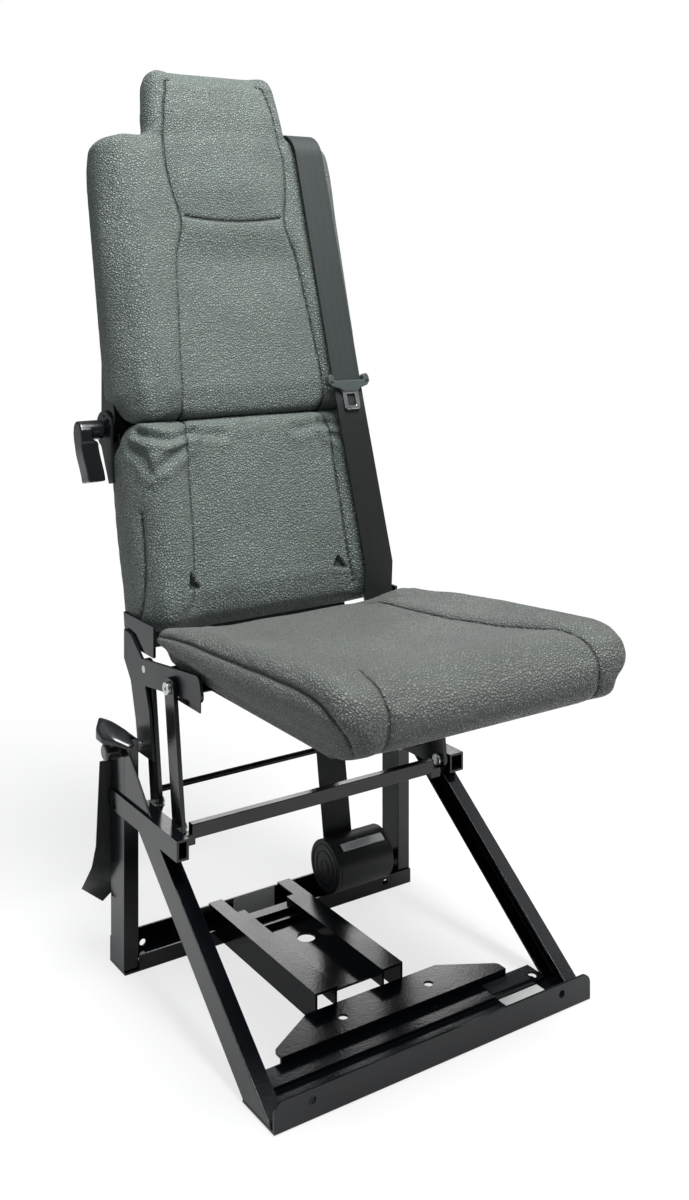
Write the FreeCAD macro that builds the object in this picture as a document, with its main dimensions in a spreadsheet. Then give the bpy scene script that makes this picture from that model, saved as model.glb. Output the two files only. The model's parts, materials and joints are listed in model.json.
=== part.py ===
import FreeCAD, Part
import math
import os
import Sketcher

# Folding vehicle seat with its own belt, on a steel floor frame.
# Axes: +Z up, the seat faces -Y, the side with the two handles is -X.
# Origin: floor level, midway between the two rear floor bolts.

os.makedirs("parts", exist_ok=True)
doc = FreeCAD.newDocument("folding_seat")
sheet = doc.addObject("Spreadsheet::Sheet", "Dims")

# Driving dimensions. Names that end in _y are measured back from the front flange.
DIMS = [
    ("frame_width", 450), ("origin_back", 390), ("steel", 3), ("gap", 0.05), ("soft_gap", 1),
    ("tube_width", 20), ("tube_wall", 2), ("flange_height", 32), ("flange_round", 12),
    ("base_depth", 60), ("step_height", 8), ("plateau_back_y", 90), ("step_inset", 21),
    ("flange_hole_x", 178), ("flange_hole_z", 20), ("flange_hole_r", 4.5),
    ("bolt_x", 194), ("bolt_front_y", 71), ("bolt_back_y", 390), ("bolt_r", 5.5), ("key_r", 3),
    ("key_long", 9),
    ("rear_front_y", 365), ("rear_back_y", 411), ("lip_height", 20), ("web_height", 32),
    ("rear_hole_z", 11), ("rear_hole_x", 180),
    ("tray_left", 83), ("tray_right", 45), ("tray_rail", 31), ("tray_rail_thin", 20), ("tray_top", 36),
    ("tray_floor", 17), ("tray_window_front_y", 142), ("tray_window_back_y", 166),
    ("tray_step1_y", 338), ("tray_step2_y", 352), ("tray_step1_z", 23), ("tray_step2_z", 29),
    ("tray_hole_r", 5), ("tray_hole_x", 38), ("tray_hole_y", 290), ("tray_big_r", 12), ("tray_big_x", 2),
    ("cross_front_y", 86), ("cross_back_y", 142), ("cross_half", 164),
    ("cross_half_back", 96), ("cross_hole_x", 63), ("cross_hole_y", 113), ("cross_hole_r", 6),
    ("post_top", 294),
    ("rail_low", 200), ("rail_high", 225), ("rail_front_y", 215), ("rail_box_y", 248),
    ("rail_end_y", 412),
    ("rail_plate", 3), ("rail_nose", 13), ("rail_bolt_y", 391), ("rail_bolt_z", 209), ("rail_bolt_r", 4),
    ("strut_foot_front_y", 6), ("strut_depth_flat", 60), ("strut_top_front_y", 270), ("strut_wall", 2.5),
    ("gusset_front_y", 292), ("gusset_top", 288),
    ("front_pivot_y", 264), ("front_pivot_z", 216), ("link_back", 23), ("link_up", 164),
    ("rear_pivot_y", 350), ("link_thick", 6), ("link_half", 13), ("link_gap", 2), ("pivot_r", 5),
    ("head_r", 8), ("head_thick", 4.5), ("hex_depth", 2.5), ("hex_r", 2.5),
    ("cross_bar_height", 18), ("cross_bar_deep", 11), ("cross_bar_drop", 6), ("cross_lug_low", 22),
    ("rod_r", 4), ("rod_rise", 16),
    ("plate_thick", 4), ("side_gap", 1),
    ("arm_front_y", 213), ("arm_front_low", 379), ("arm_front_high", 410), ("arm_back_high", 392),
    ("arm_back_y", 379), ("arm_under_y", 368), ("arm_under_z", 360), ("arm_round", 9),
    ("leg_top_y", 432), ("leg_top_z", 380), ("leg_a_y", 411), ("leg_a_z", 356), ("leg_b_y", 396),
    ("leg_b_z", 310), ("leg_low_y", 388), ("leg_low_z", 270), ("leg_front_y", 346), ("spike_y", 411),
    ("spike_z", 415),
    ("leg_in_y", 356), ("leg_in_z", 330), ("heel_z", 418),
    ("bracket_front_y", 352), ("bracket_back_y", 440), ("bracket_low", 398), ("bracket_high", 438),
    ("latch_y", 377), ("latch_z", 283), ("latch_r", 4.5), ("latch_tip_gap", 1), ("latch_travel", 5.5),
    ("hub_r", 11), ("hub_long", 24),
    ("pan_low", 388), ("pan_thick", 2), ("pan_front_y", -35), ("pan_inset", 49), ("pan_back_y", 335),
    ("skirt_front_y", 226),
    ("skirt_low", 364), ("skirt_hole_r", 13),
    ("seat_front_y", -95), ("seat_back_y", 347), ("seat_inset", 13), ("seat_under_inset", 39),
    ("seat_low", 390.6), ("seat_front_top", 474), ("seat_round", 16),
    ("hinge_y", 498), ("hinge_z", 674), ("recline_angle", 11.9), ("back_inset", 39), ("back_thick", 92),
    ("low_bottom", 262), ("low_top", 2), ("up_bottom", 2), ("shoulder_up", 400), ("head_up", 510),
    ("head_half", 104), ("corner_cut", 34),
    ("back_panel", 2), ("flange_deep", 30), ("low_frame_bottom", 268), ("up_frame_top", 390),
    ("disc_r", 25), ("disc_gap", 0.1), ("pin_r", 6), ("hinge_arm_up", 92), ("tail_down", 74),
    ("tail_half", 9),
    ("lever_hub_r", 12), ("lever_long", 36), ("lever_down", 70), ("lever_blade", 8), ("lever_half", 13),
    ("web_width", 47), ("web_thick", 1.5), ("web_front_inset", 82), ("web_low_inset", 117),
    ("web_shoulder_inset", 87), ("web_end_inset", 65), ("web_lift", 9),
    ("web_behind", 6), ("drum_r", 36), ("drum_left_inset", 151), ("drum_right_inset", 59),
    ("drum_y", 362), ("drum_z", 62),
    ("cap_thick", 6), ("spool_r", 24), ("spool_core_r", 8), ("shell_wall", 4),
    ("strap_top_z", 258), ("strap_bolt_z", 246), ("strap_low_z", 78), ("strap_out", 13),
    ("strap_lift", 5),
    ("grip_out", 36), ("grip_low", 303), ("grip_high", 321), ("grip_front_y", 334), ("grip_back_y", 392),
    ("anchor_y", 352), ("anchor_low", 396), ("anchor_high", 416), ("anchor_inset", 87), ("anchor_r", 6),
    ("grip_half", 35), ("grip_deep", 11), ("tongue_up", 22), ("fold_clear", 26), ("web_rise", 21),
    ("tongue_grip_up", 22), ("tongue_half", 13),
    ("tongue_long", 26), ("tongue_thick", 2), ("label_thick", 0.5),
    ("label_left", 126), ("label_right", 188), ("label_front_y", 39), ("label_back_y", 56),
    ("dark_left", 123), ("dark_right", 184), ("dark_front_y", 62), ("dark_back_y", 84),
    ("rear_label_left", 45), ("rear_label_right", 20), ("rear_label_low", 4), ("rear_label_high", 31),
]
row = 1
for name, value in DIMS:
    sheet.set("A%d" % row, name)
    sheet.set("B%d" % row, str(value))
    sheet.setAlias("B%d" % row, name)
    row += 1
doc.recompute()


class Size:
    """A length with its value and its expression on the sheet."""

    def __init__(self, value, text):
        self.value = float(value)
        self.text = text

    def __add__(self, other):
        o = as_size(other)
        return Size(self.value + o.value, "(%s + %s)" % (self.text, o.text))

    def __radd__(self, other):
        return as_size(other) + self

    def __sub__(self, other):
        o = as_size(other)
        return Size(self.value - o.value, "(%s - %s)" % (self.text, o.text))

    def __rsub__(self, other):
        return as_size(other) - self

    def __mul__(self, other):
        o = as_size(other)
        return Size(self.value * o.value, "(%s * %s)" % (self.text, o.text))

    def __rmul__(self, other):
        return as_size(other) * self

    def __truediv__(self, other):
        o = as_size(other)
        return Size(self.value / o.value, "(%s / %s)" % (self.text, o.text))

    def __neg__(self):
        return Size(-self.value, "(0 - %s)" % self.text)


def as_size(v):
    if isinstance(v, Size):
        return v
    return Size(v, "%g" % v if v >= 0 else "(0 - %g)" % -v)


def S(name):
    return Size(sheet.get(name), "Dims." + name)


def from_side(name):
    """Distance from the middle to what keeps this inset from the side of the floor frame."""
    return S("frame_width") / 2 - S(name)


def back(name):
    """Row Y of a position measured back from the front flange."""
    return S(name) - S("origin_back")


ROLES = {"X": "YZ_Plane", "Y": "XZ_Plane", "Z": "XY_Plane"}
made = []


def base_sketch(body, axis, level, label):
    plane = [f for f in body.Origin.OriginFeatures if f.Role == ROLES[axis]][0]
    sk = body.newObject("Sketcher::SketchObject", label)
    sk.AttachmentSupport = [(plane, "")]
    sk.MapMode = "FlatFace"
    lift = -level if axis == "Y" else level
    sk.AttachmentOffset = FreeCAD.Placement(FreeCAD.Vector(0, 0, lift.value), FreeCAD.Rotation())
    sk.setExpression("AttachmentOffset.Base.z", lift.text)
    return sk


def pin_point(sk, geo, pos, point):
    u = as_size(point[0])
    v = as_size(point[1])
    for kind, s in (("DistanceX", u), ("DistanceY", v)):
        n = sk.addConstraint(Sketcher.Constraint(kind, -1, 1, geo, pos, s.value))
        if "Dims" in s.text:
            sk.setExpression("Constraints[%d]" % n, s.text)


def draw_outline(sk, points):
    vec = [FreeCAD.Vector(as_size(p[0]).value, as_size(p[1]).value, 0) for p in points]
    count = len(vec)
    first = sk.GeometryCount
    for i in range(count):
        sk.addGeometry(Part.LineSegment(vec[i], vec[(i + 1) % count]), False)
    for i in range(count):
        sk.addConstraint(Sketcher.Constraint("Coincident", first + i, 2, first + (i + 1) % count, 1))
    for i in range(count):
        pin_point(sk, first + i, 1, points[i])


def draw_circle(sk, centre, radius):
    c = FreeCAD.Vector(as_size(centre[0]).value, as_size(centre[1]).value, 0)
    g = sk.addGeometry(Part.Circle(c, FreeCAD.Vector(0, 0, 1), radius.value), False)
    pin_point(sk, g, 3, centre)
    n = sk.addConstraint(Sketcher.Constraint("Radius", g, radius.value))
    sk.setExpression("Constraints[%d]" % n, radius.text)


def new_body(name):
    return doc.addObject("PartDesign::Body", name + "_body")


def add_slab(body, axis, low, high, outline=None, circles=()):
    """Pad an outline between two levels along an axis."""
    low = as_size(low)
    high = as_size(high)
    start = high if axis == "Y" else low
    sk = base_sketch(body, axis, start, "outline")
    if outline:
        draw_outline(sk, outline)
    for centre, radius in circles:
        draw_circle(sk, centre, radius)
    pad = body.newObject("PartDesign::Pad", "pad")
    pad.Profile = sk
    depth = high - low
    pad.Length = depth.value
    pad.setExpression("Length", depth.text)
    doc.recompute()
    return pad


def cut_slab(body, axis, low, high, outline=None, circles=()):
    """Cut an outline between two levels along an axis."""
    before = body.Shape.Volume
    low = as_size(low)
    high = as_size(high)
    start = high if axis == "Y" else low
    sk = base_sketch(body, axis, start, "cut")
    if outline:
        draw_outline(sk, outline)
    for centre, radius in circles:
        draw_circle(sk, centre, radius)
    cut = body.newObject("PartDesign::Pocket", "pocket")
    cut.Profile = sk
    depth = high - low
    cut.Length = depth.value
    cut.setExpression("Length", depth.text)
    cut.Reversed = True
    doc.recompute()
    if body.Shape.Volume > before - 1e-6:
        cut.Reversed = False
        doc.recompute()
    if body.Shape.Volume > before - 1e-6:
        raise RuntimeError("cut took nothing from " + body.Name)
    return cut


def round_edges(body, axis, spots, radius):
    """Round the edges along an axis that pass nearest the given spots."""
    tip = body.Tip
    shape = tip.Shape
    k = "XYZ".index(axis)
    names = []
    for spot in spots:
        best = None
        for i, e in enumerate(shape.Edges):
            if len(e.Vertexes) != 2 or not isinstance(e.Curve, Part.Line):
                continue
            d = e.Vertexes[1].Point - e.Vertexes[0].Point
            if abs(d[k]) < 0.99 * d.Length:
                continue
            c = e.CenterOfMass
            gap = sum((c[j] - as_size(spot[j]).value) ** 2 for j in range(3) if spot[j] is not None)
            if best is None or gap < best[0]:
                best = (gap, "Edge%d" % (i + 1))
        names.append(best[1])
    f = body.newObject("PartDesign::Fillet", "round")
    f.Base = (tip, sorted(set(names)))
    f.Radius = radius.value
    f.setExpression("Radius", radius.text)
    doc.recompute()
    return f


def keep(name, obj):
    obj.Label = name
    made.append((name, obj))
    return obj


def rod(label, axis, low, high, u, v, radius):
    """Part cylinder along an axis between two levels."""
    c = doc.addObject("Part::Cylinder", label)
    low = as_size(low)
    high = as_size(high)
    depth = high - low
    c.Radius = radius.value
    c.Height = depth.value
    c.setExpression("Radius", radius.text)
    c.setExpression("Height", depth.text)
    turn = {"X": FreeCAD.Rotation(FreeCAD.Vector(0, 1, 0), 90),
            "Y": FreeCAD.Rotation(FreeCAD.Vector(1, 0, 0), -90),
            "Z": FreeCAD.Rotation()}[axis]
    u = as_size(u)
    v = as_size(v)
    place = {"X": (low, u, v), "Y": (u, low, v), "Z": (u, v, low)}[axis]
    c.Placement = FreeCAD.Placement(FreeCAD.Vector(*[p.value for p in place]), turn)
    for key, p in zip("xyz", place):
        if "Dims" in p.text:
            c.setExpression("Placement.Base." + key, p.text)
    return c


def fuse(label, objs):
    f = doc.addObject("Part::MultiFuse", label)
    f.Shapes = list(objs)
    return f


def cut_from(label, base, tool):
    c = doc.addObject("Part::Cut", label)
    c.Base = base
    c.Tool = tool
    return c


def group(label, objs):
    c = doc.addObject("Part::Compound", label)
    c.Links = list(objs)
    return c


half = S("frame_width") / 2
inner = half - S("tube_width")
t = S("steel")
F = as_size(0)


def rect(u0, v0, u1, v1):
    return [(u0, v0), (u1, v0), (u1, v1), (u0, v1)]


# Front floor member: flange, base, step, plateau and rear edge, with its holes
y0 = -S("origin_back")
yb = back("base_depth")
yp = back("plateau_back_y")
step_half = half - S("step_inset")
b = new_body("front_floor_member")
add_slab(b, "Z", 0, t, rect(-half, y0, half, yb))
add_slab(b, "Y", y0, y0 + t, rect(-half, F, half, S("flange_height")))
add_slab(b, "Y", yb - t, yb, rect(-step_half, F, step_half, S("step_height")))
add_slab(b, "Z", S("step_height") - t, S("step_height"), rect(-step_half, yb - t, step_half, yp))
add_slab(b, "Y", yp - t, yp, rect(-step_half, F, step_half, S("step_height")))
foot_back = back("strut_foot_front_y") + S("strut_depth_flat")
for s in (-1, 1):
    add_slab(b, "Z", 0, t, rect(s * inner, yb - t, s * half, foot_back))
cut_slab(b, "Y", y0, y0 + t, None, [((s * S("flange_hole_x"), S("flange_hole_z")), S("flange_hole_r"))
                                    for s in (-1, 1)])
cut_slab(b, "Z", S("step_height") - t, S("step_height"), None,
         [((s * S("bolt_x"), back("bolt_front_y")), S("bolt_r")) for s in (-1, 1)])
for s in (-1, 1):
    x = s * S("bolt_x")
    y = back("bolt_front_y")
    cut_slab(b, "Z", S("step_height") - t, S("step_height"),
             rect(x - S("key_r"), y - S("key_long"), x + S("key_r"), y))
round_edges(b, "Y", [(-half, y0, S("flange_height")), (half, y0, S("flange_height"))], S("flange_round"))
keep("front_floor_member", b)

# Rear floor member: base, taller rear web and a low lip that stops at the tray
yr = back("rear_front_y")
yw = back("rear_back_y")
b = new_body("rear_floor_member")
add_slab(b, "Z", 0, t, rect(-half, yr, half, yw))
add_slab(b, "Y", yw - t, yw, rect(-half, F, half, S("web_height")))
add_slab(b, "Y", yr, yr + t, rect(-inner, F, -S("tray_left"), S("lip_height")))
add_slab(b, "Y", yr, yr + t, rect(S("tray_right"), F, half, S("lip_height")))
cut_slab(b, "Y", yr, yr + t, None, [((S("rear_hole_x"), S("rear_hole_z")), S("flange_hole_r"))])
cut_slab(b, "Y", yw - t, yw, None, [((s * S("rear_hole_x"), S("rear_hole_z")), S("flange_hole_r"))
                                    for s in (-1, 1)])
cut_slab(b, "Z", 0, t, None, [((s * S("bolt_x"), back("bolt_back_y")), S("bolt_r")) for s in (-1, 1)])
keep("rear_floor_member", b)

# Centre tray: floor, two raised rails, stepped rear end, holes and a front window
tl = -S("tray_left")
tr = S("tray_right")
tf = S("tray_floor")
tt = S("tray_top")
rail = S("tray_rail")
ytf = back("tray_window_front_y")
b = new_body("centre_tray")
add_slab(b, "Z", tf - t, tf, rect(tl + rail, back("tray_window_back_y"), tr - rail, back("tray_step1_y")))
add_slab(b, "Z", tt - t, tt, rect(tl, ytf, tl + rail, yr))
add_slab(b, "X", tl, tl + t, rect(ytf, F, yr, tt))
add_slab(b, "X", tl + rail - t, tl + rail, rect(ytf, tf - t, yr, tt))
add_slab(b, "Z", tt - t, tt, rect(tr - rail, ytf, tr, yr))
add_slab(b, "X", tr - t, tr, rect(ytf, F, yr, tt))
add_slab(b, "X", tr - rail, tr - rail + t, rect(ytf, tf - t, yr, tt))
s1 = back("tray_step1_y")
s2 = back("tray_step2_y")
add_slab(b, "X", tl + rail, tr - rail, [
    (s1 - t, tf - t), (s1, tf - t), (s1, S("tray_step1_z") - t), (s2, S("tray_step1_z") - t),
    (s2, S("tray_step2_z") - t), (yr, S("tray_step2_z") - t), (yr, S("tray_step2_z")),
    (s2 - t, S("tray_step2_z")), (s2 - t, S("tray_step1_z")), (s1 - t, S("tray_step1_z"))])
add_slab(b, "Z", tt - t, tt, rect(tl, yr, tl + S("tray_rail_thin"), yw - t))
add_slab(b, "Z", tt - t, tt, rect(tr - S("tray_rail_thin"), yr, tr, yw - t))
hy = back("tray_hole_y")
cut_slab(b, "Z", tf - t, tf, None, [((-S("tray_hole_x"), hy), S("tray_hole_r")),
                                    ((-S("tray_big_x"), hy), S("tray_big_r"))])
keep("centre_tray", b)

# Front cross plate: trapezoid on the tray rails, folded down at the front
yc = back("cross_front_y")
ych = back("cross_back_y")
hb = S("cross_half_back")
hf = S("cross_half")
b = new_body("front_cross_plate")
add_slab(b, "Z", tf - t, tf, [(-hf, yc), (hf, yc), (hf, yc + rail / 2), (hb, ych), (-hb, ych),
                              (-hf, yc + rail / 2)])
add_slab(b, "Y", yc, yc + t, rect(-hf, S("step_height"), hf, tf))
cut_slab(b, "Z", tf - t, tf, None, [((s * S("cross_hole_x"), back("cross_hole_y")), S("cross_hole_r"))
                                    for s in (-1, 1)])
round_edges(b, "Z", [(-hf, yc + rail / 2, tf), (hf, yc + rail / 2, tf)], t * 3)
keep("front_cross_plate", b)


def sided(name, s):
    return ("left_" if s < 0 else "right_") + name


def span(s, a, c):
    """Low and high X of a layer between two distances from the middle."""
    return (s * a, s * c) if s > 0 else (s * c, s * a)


wall = S("tube_wall")
zf = t
for s in (-1, 1):
    # Rear post: square tube, closed at the foot, open at the top
    x0, x1 = span(s, inner, half)
    yf = yr + t
    yk = yw - t
    b = new_body(sided("rear_post", s))
    add_slab(b, "Z", zf, S("post_top"), rect(x0, yf, x1, yk))
    cut_slab(b, "Z", zf + wall, S("post_top"), rect(x0 + wall, yf + wall, x1 - wall, yk - wall))
    if s < 0:
        cut_slab(b, "X", x0, x1, None, [((back("latch_y"), S("latch_z")), S("latch_r") + S("gap"))])
    keep(sided("rear_post", s), b)

    # Side rail: channel forward of the post with a long outer plate past it
    o0, o1 = span(s, half, half + S("rail_plate"))
    rf = back("rail_box_y")
    re = back("rail_end_y")
    rn = back("rail_front_y") if s < 0 else rf
    zl = S("rail_low")
    zh = S("rail_high")
    b = new_body(sided("side_rail", s))
    add_slab(b, "X", o0, o1, rect(rn, zl, re, zh))
    if s < 0:
        n0, n1 = span(s, half - S("rail_nose"), half)
        add_slab(b, "X", n0, n1, rect(rn, zl, rf, zl + t))
        add_slab(b, "X", n0, n1, rect(rn, zh - t, rf, zh))
        add_slab(b, "X", *span(s, half - S("rail_nose"), half - S("rail_nose") + t), rect(rn, zl, rf, zh))
    add_slab(b, "X", x0, x1, rect(rf, zh - t, yf, zh))
    add_slab(b, "X", x0, x1, rect(rf, zl, yf, zl + t))
    i0, i1 = span(s, inner, inner + t)
    add_slab(b, "X", i0, i1, rect(rf, zl, yf, zh))
    cut_slab(b, "X", i0, i1, None, [((back("front_pivot_y"), S("front_pivot_z")), S("pivot_r") + S("gap")),
                                    ((back("rear_pivot_y"), S("front_pivot_z")), S("pivot_r") + S("gap"))])
    cut_slab(b, "X", o0, o1, None, [((back("rail_bolt_y"), S("rail_bolt_z")), S("rail_bolt_r") * 1.6)])
    round_edges(b, "X", [(o0, re, zl), (o0, re, zh)], (zh - zl) / 2 - S("gap"))
    keep(sided("side_rail", s), b)

    # Strut: slanted channel, open towards the middle
    a0 = back("strut_foot_front_y")
    a1 = back("strut_top_front_y")
    dd = S("strut_depth_flat")
    outline = [(a0, zf), (a0 + dd, zf), (a1 + dd, zl), (a1, zl)]
    b = new_body(sided("strut", s))
    add_slab(b, "X", x0, x1, outline)
    w = S("strut_wall") * 2
    e0, e1 = span(s, inner, half - S("strut_wall"))
    cut_slab(b, "X", e0, e1, [(a0 + w, zf), (a0 + dd - w, zf), (a1 + dd - w, zl), (a1 + w, zl)])
    keep(sided("strut", s), b)

    # Gusset plate between the post and the rail
    g0, g1 = span(s, half - t, half)
    b = new_body(sided("gusset", s))
    add_slab(b, "X", g0, g1, [(back("gusset_front_y"), zh), (yf, zh), (yf, S("gusset_top")),
                              (yf - t * 3, S("gusset_top"))])
    keep(sided("gusset", s), b)

# Links. Both pairs have the same length and lean, so that the seat keeps its angle.
pz = S("front_pivot_z")
tz = pz + S("link_up")
py = back("front_pivot_y")
ry = back("rear_pivot_y")
lk0 = inner - S("link_gap") - S("link_thick")
lk1 = inner - S("link_gap")
pl1 = lk0 - S("side_gap")
pl0 = pl1 - S("plate_thick")
rk1 = pl0 - S("side_gap")
rk0 = rk1 - S("link_thick")
lean = math.degrees(math.atan2(S("link_back").value, S("link_up").value))


def link(name, s, a, c, foot_y):
    """Flat bar with rounded ends and two pivot holes."""
    x0, x1 = span(s, a, c)
    r = S("link_half")
    top = (foot_y + S("link_back"), tz)
    run = math.hypot(S("link_back").value, S("link_up").value)
    cy = S("link_up") / run
    cz = S("link_back") / run
    b = new_body(name)
    add_slab(b, "X", x0, x1, None, [((foot_y, pz), r)])
    add_slab(b, "X", x0, x1, None, [(top, r)])
    add_slab(b, "X", x0, x1, [(foot_y - r * cy, pz + r * cz), (foot_y + r * cy, pz - r * cz),
                              (top[0] + r * cy, tz - r * cz), (top[0] - r * cy, tz + r * cz)])
    cut_slab(b, "X", x0, x1, None, [((foot_y, pz), S("pivot_r") + S("gap")), (top, S("pivot_r") + S("gap"))])
    keep(name, b)


for s in (-1, 1):
    link(sided("front_link", s), s, lk0, lk1, py)
    link(sided("rear_link", s), s, rk0, rk1, ry)

b = new_body("cross_bar")
bz = pz - S("cross_bar_drop")
bd = S("cross_bar_deep") / 2
bt = S("cross_bar_height") / 2
lug_top = pz - S("head_r") - S("gap") * 10
add_slab(b, "X", -rk0, rk0, rect(py - bd, bz - bt, py + bd, bz + bt))
for s in (-1, 1):
    add_slab(b, "X", *span(s, rk0 - S("head_thick"), lk0),
             rect(py - bd, pz - S("cross_lug_low"), py + bd, lug_top))
cut_slab(b, "X", -rk0, rk0, rect(py - bd + wall, bz - bt + wall, py + bd - wall, bz + bt - wall))
keep("cross_bar", b)
keep("link_rod", rod("link_rod_bar", "X", -rk0, rk0, ry, pz + S("rod_rise"), S("rod_r")))


def bolt(label, s, x_in, x_out, y, z, socket=True):
    """Round headed bolt along X with its head outside."""
    shank = rod(label + "_shank", "X", *span(s, x_in, x_out), y, z, S("pivot_r"))
    head = rod(label + "_head", "X", *span(s, x_out, x_out + S("head_thick")), y, z, S("head_r"))
    body = fuse(label + "_solid", [shank, head])
    if not socket:
        return body
    hole = rod(label + "_socket", "X",
               *span(s, x_out + S("head_thick") - S("hex_depth"), x_out + S("head_thick")),
               y, z, S("hex_r"))
    return cut_from(label + "_bolt", body, hole)


keep("front_link_top_bolts", group("ft", [bolt("ft%d" % (s + 1), s, pl0, lk1, py + S("link_back"), tz)
                                          for s in (-1, 1)]))


def inner_bolt(label, s, x_in, x_out, y, z):
    shank = rod(label + "_shank", "X", *span(s, x_in, x_out), y, z, S("pivot_r"))
    head = rod(label + "_head", "X", *span(s, x_in - S("head_thick"), x_in), y, z, S("head_r"))
    return fuse(label + "_bolt", [shank, head])


iw = inner + t
keep("front_link_pivot_bolts", group("fp", [inner_bolt("fp%d" % (s + 1), s, lk0, iw, py, pz)
                                           for s in (-1, 1)]))
keep("rear_link_pivot_bolts", group("rp", [inner_bolt("rp%d" % (s + 1), s, rk0, iw, ry, pz)
                                          for s in (-1, 1)]))
keep("rear_link_top_bolts", group("rt", [inner_bolt("rt%d" % (s + 1), s, rk0, pl1, ry + S("link_back"), tz)
                                         for s in (-1, 1)]))
keep("rail_end_bolts", group("rb", [rod("rb%d" % (s + 1), "X", *span(s, half, half + t * 0.8),
                                        back("rail_bolt_y"), S("rail_bolt_z"), S("rail_bolt_r"))
                                   for s in (-1, 1)]))

# Side plates: arm under the cushion, leg down to the latch, spike up to the back bracket
for s in (-1, 1):
    x0, x1 = span(s, pl0, pl1)
    b = new_body(sided("side_plate", s))
    add_slab(b, "X", x0, x1, [
        (back("arm_front_y"), S("arm_front_low")), (back("arm_under_y"), S("arm_under_z")),
        (back("leg_in_y"), S("leg_in_z")), (back("leg_front_y"), S("leg_low_z")),
        (back("leg_low_y"), S("leg_low_z")), (back("leg_b_y"), S("leg_b_z")),
        (back("leg_a_y"), S("leg_a_z")), (back("leg_top_y"), S("leg_top_z")),
        (back("leg_top_y"), S("heel_z")), (back("spike_y"), S("spike_z")),
        (back("arm_back_y"), S("arm_back_high")),
        (back("arm_front_y") + S("arm_round"), S("arm_front_high"))])
    cut_slab(b, "X", x0, x1, None, [((py + S("link_back"), tz), S("pivot_r") + S("gap")),
                                    ((ry + S("link_back"), tz), S("pivot_r") + S("gap"))])
    if s < 0:
        cut_slab(b, "X", x0, x1, None, [((back("latch_y"), S("latch_z")), S("latch_r") + S("gap") * 4)])
    round_edges(b, "X", [(x0, back("arm_front_y"), S("arm_front_low")),
                         (x0, back("arm_front_y") + S("arm_round"), S("arm_front_high"))], S("arm_round"))
    keep(sided("side_plate", s), b)

# Seat pan between the side plates, with skirts that clear the pivots
b = new_body("seat_pan")
pz0 = S("pan_low")
add_slab(b, "Z", pz0, pz0 + S("pan_thick"), rect(-pl0, back("skirt_front_y"), pl0, back("pan_back_y")))
add_slab(b, "Z", pz0, pz0 + S("pan_thick"), rect(-from_side("pan_inset"), back("pan_front_y"),
                                                 from_side("pan_inset"),
                                                 back("skirt_front_y")))
for s in (-1, 1):
    x0, x1 = span(s, pl0 - S("pan_thick"), pl0)
    add_slab(b, "X", x0, x1, rect(back("skirt_front_y"), S("skirt_low"), back("pan_back_y"), pz0))
    cut_slab(b, "X", x0, x1, None, [((py + S("link_back"), tz), S("skirt_hole_r"))])
keep("seat_pan", b)

doc.recompute()

# The back is drawn upright about its hinge line and then leaned back as one piece
hy = back("hinge_y")
hz = S("hinge_z")
lean_back = FreeCAD.Placement(FreeCAD.Vector(0, hy.value, hz.value),
                              FreeCAD.Rotation(FreeCAD.Vector(1, 0, 0), -sheet.get("recline_angle")))


def leaned(obj):
    obj.Placement = lean_back
    obj.setExpression("Placement.Base.y", hy.text)
    obj.setExpression("Placement.Base.z", hz.text)
    doc.recompute()
    return obj


def along_belt(obj, y, z, angle):
    """Sets a solid of the upright back onto the belt's front run, turned about its lower end."""
    turn = FreeCAD.Placement(FreeCAD.Vector(0, 0, 0), FreeCAD.Rotation(FreeCAD.Vector(1, 0, 0), -angle),
                             FreeCAD.Vector(0, y, z))
    obj.Placement = lean_back.multiply(turn)
    doc.recompute()
    return obj


bh = from_side("back_inset")
bp = S("back_panel")
fl = bh + wall
low_edge = -S("low_frame_bottom")
hinge_clear = S("disc_r") * 0.4

# Lower back frame: rear plate with side flanges that carry the hinge discs
b = new_body("lower_back_frame")
add_slab(b, "Y", -bp - wall, -bp, rect(-fl, low_edge, fl, -hinge_clear))
for s in (-1, 1):
    add_slab(b, "X", *span(s, bh, fl), rect(-S("flange_deep"), low_edge, -bp, -hinge_clear))
keep("lower_back_frame", leaned(b))
b = new_body("lower_back_panel")
add_slab(b, "Y", -bp, 0, rect(-bh, -S("low_bottom"), bh, -hinge_clear))
round_edges(b, "Y", [(s * bh, 0, z) for s in (-1, 1) for z in (-S("low_bottom"), -hinge_clear)], t * 4)
keep("lower_back_panel", leaned(b))

# Upper back frame and panel
up0 = S("up_bottom") + wall
ut = S("up_frame_top")
hh = S("head_half")
b = new_body("upper_back_frame")
add_slab(b, "Y", -bp - wall, -bp, [(-fl, S("disc_r")), (-bh + S("corner_cut"), up0),
                                   (bh - S("corner_cut"), up0), (fl, S("disc_r")), (fl, ut * 0.5),
                                   (hh * 0.9, ut), (hh * 0.8, S("head_up") * 0.9),
                                   (-hh * 0.8, S("head_up") * 0.9), (-hh * 0.9, ut), (-fl, ut * 0.5)])
for s in (-1, 1):
    add_slab(b, "X", *span(s, bh, fl),
             rect(-S("flange_deep"), S("disc_r"), -bp, S("hinge_arm_up") + S("disc_r")))
keep("upper_back_frame", leaned(b))
b = new_body("upper_back_panel")
add_slab(b, "Y", -bp, 0, [(-bh, S("disc_r")), (-bh + S("corner_cut"), up0), (bh - S("corner_cut"), up0),
                          (bh, S("disc_r")), (bh, ut * 0.8), (hh, ut), (hh * 0.9, S("head_up") * 0.94),
                          (-hh * 0.9, S("head_up") * 0.94), (-hh, ut), (-bh, ut * 0.8)])
keep("upper_back_panel", leaned(b))

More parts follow.
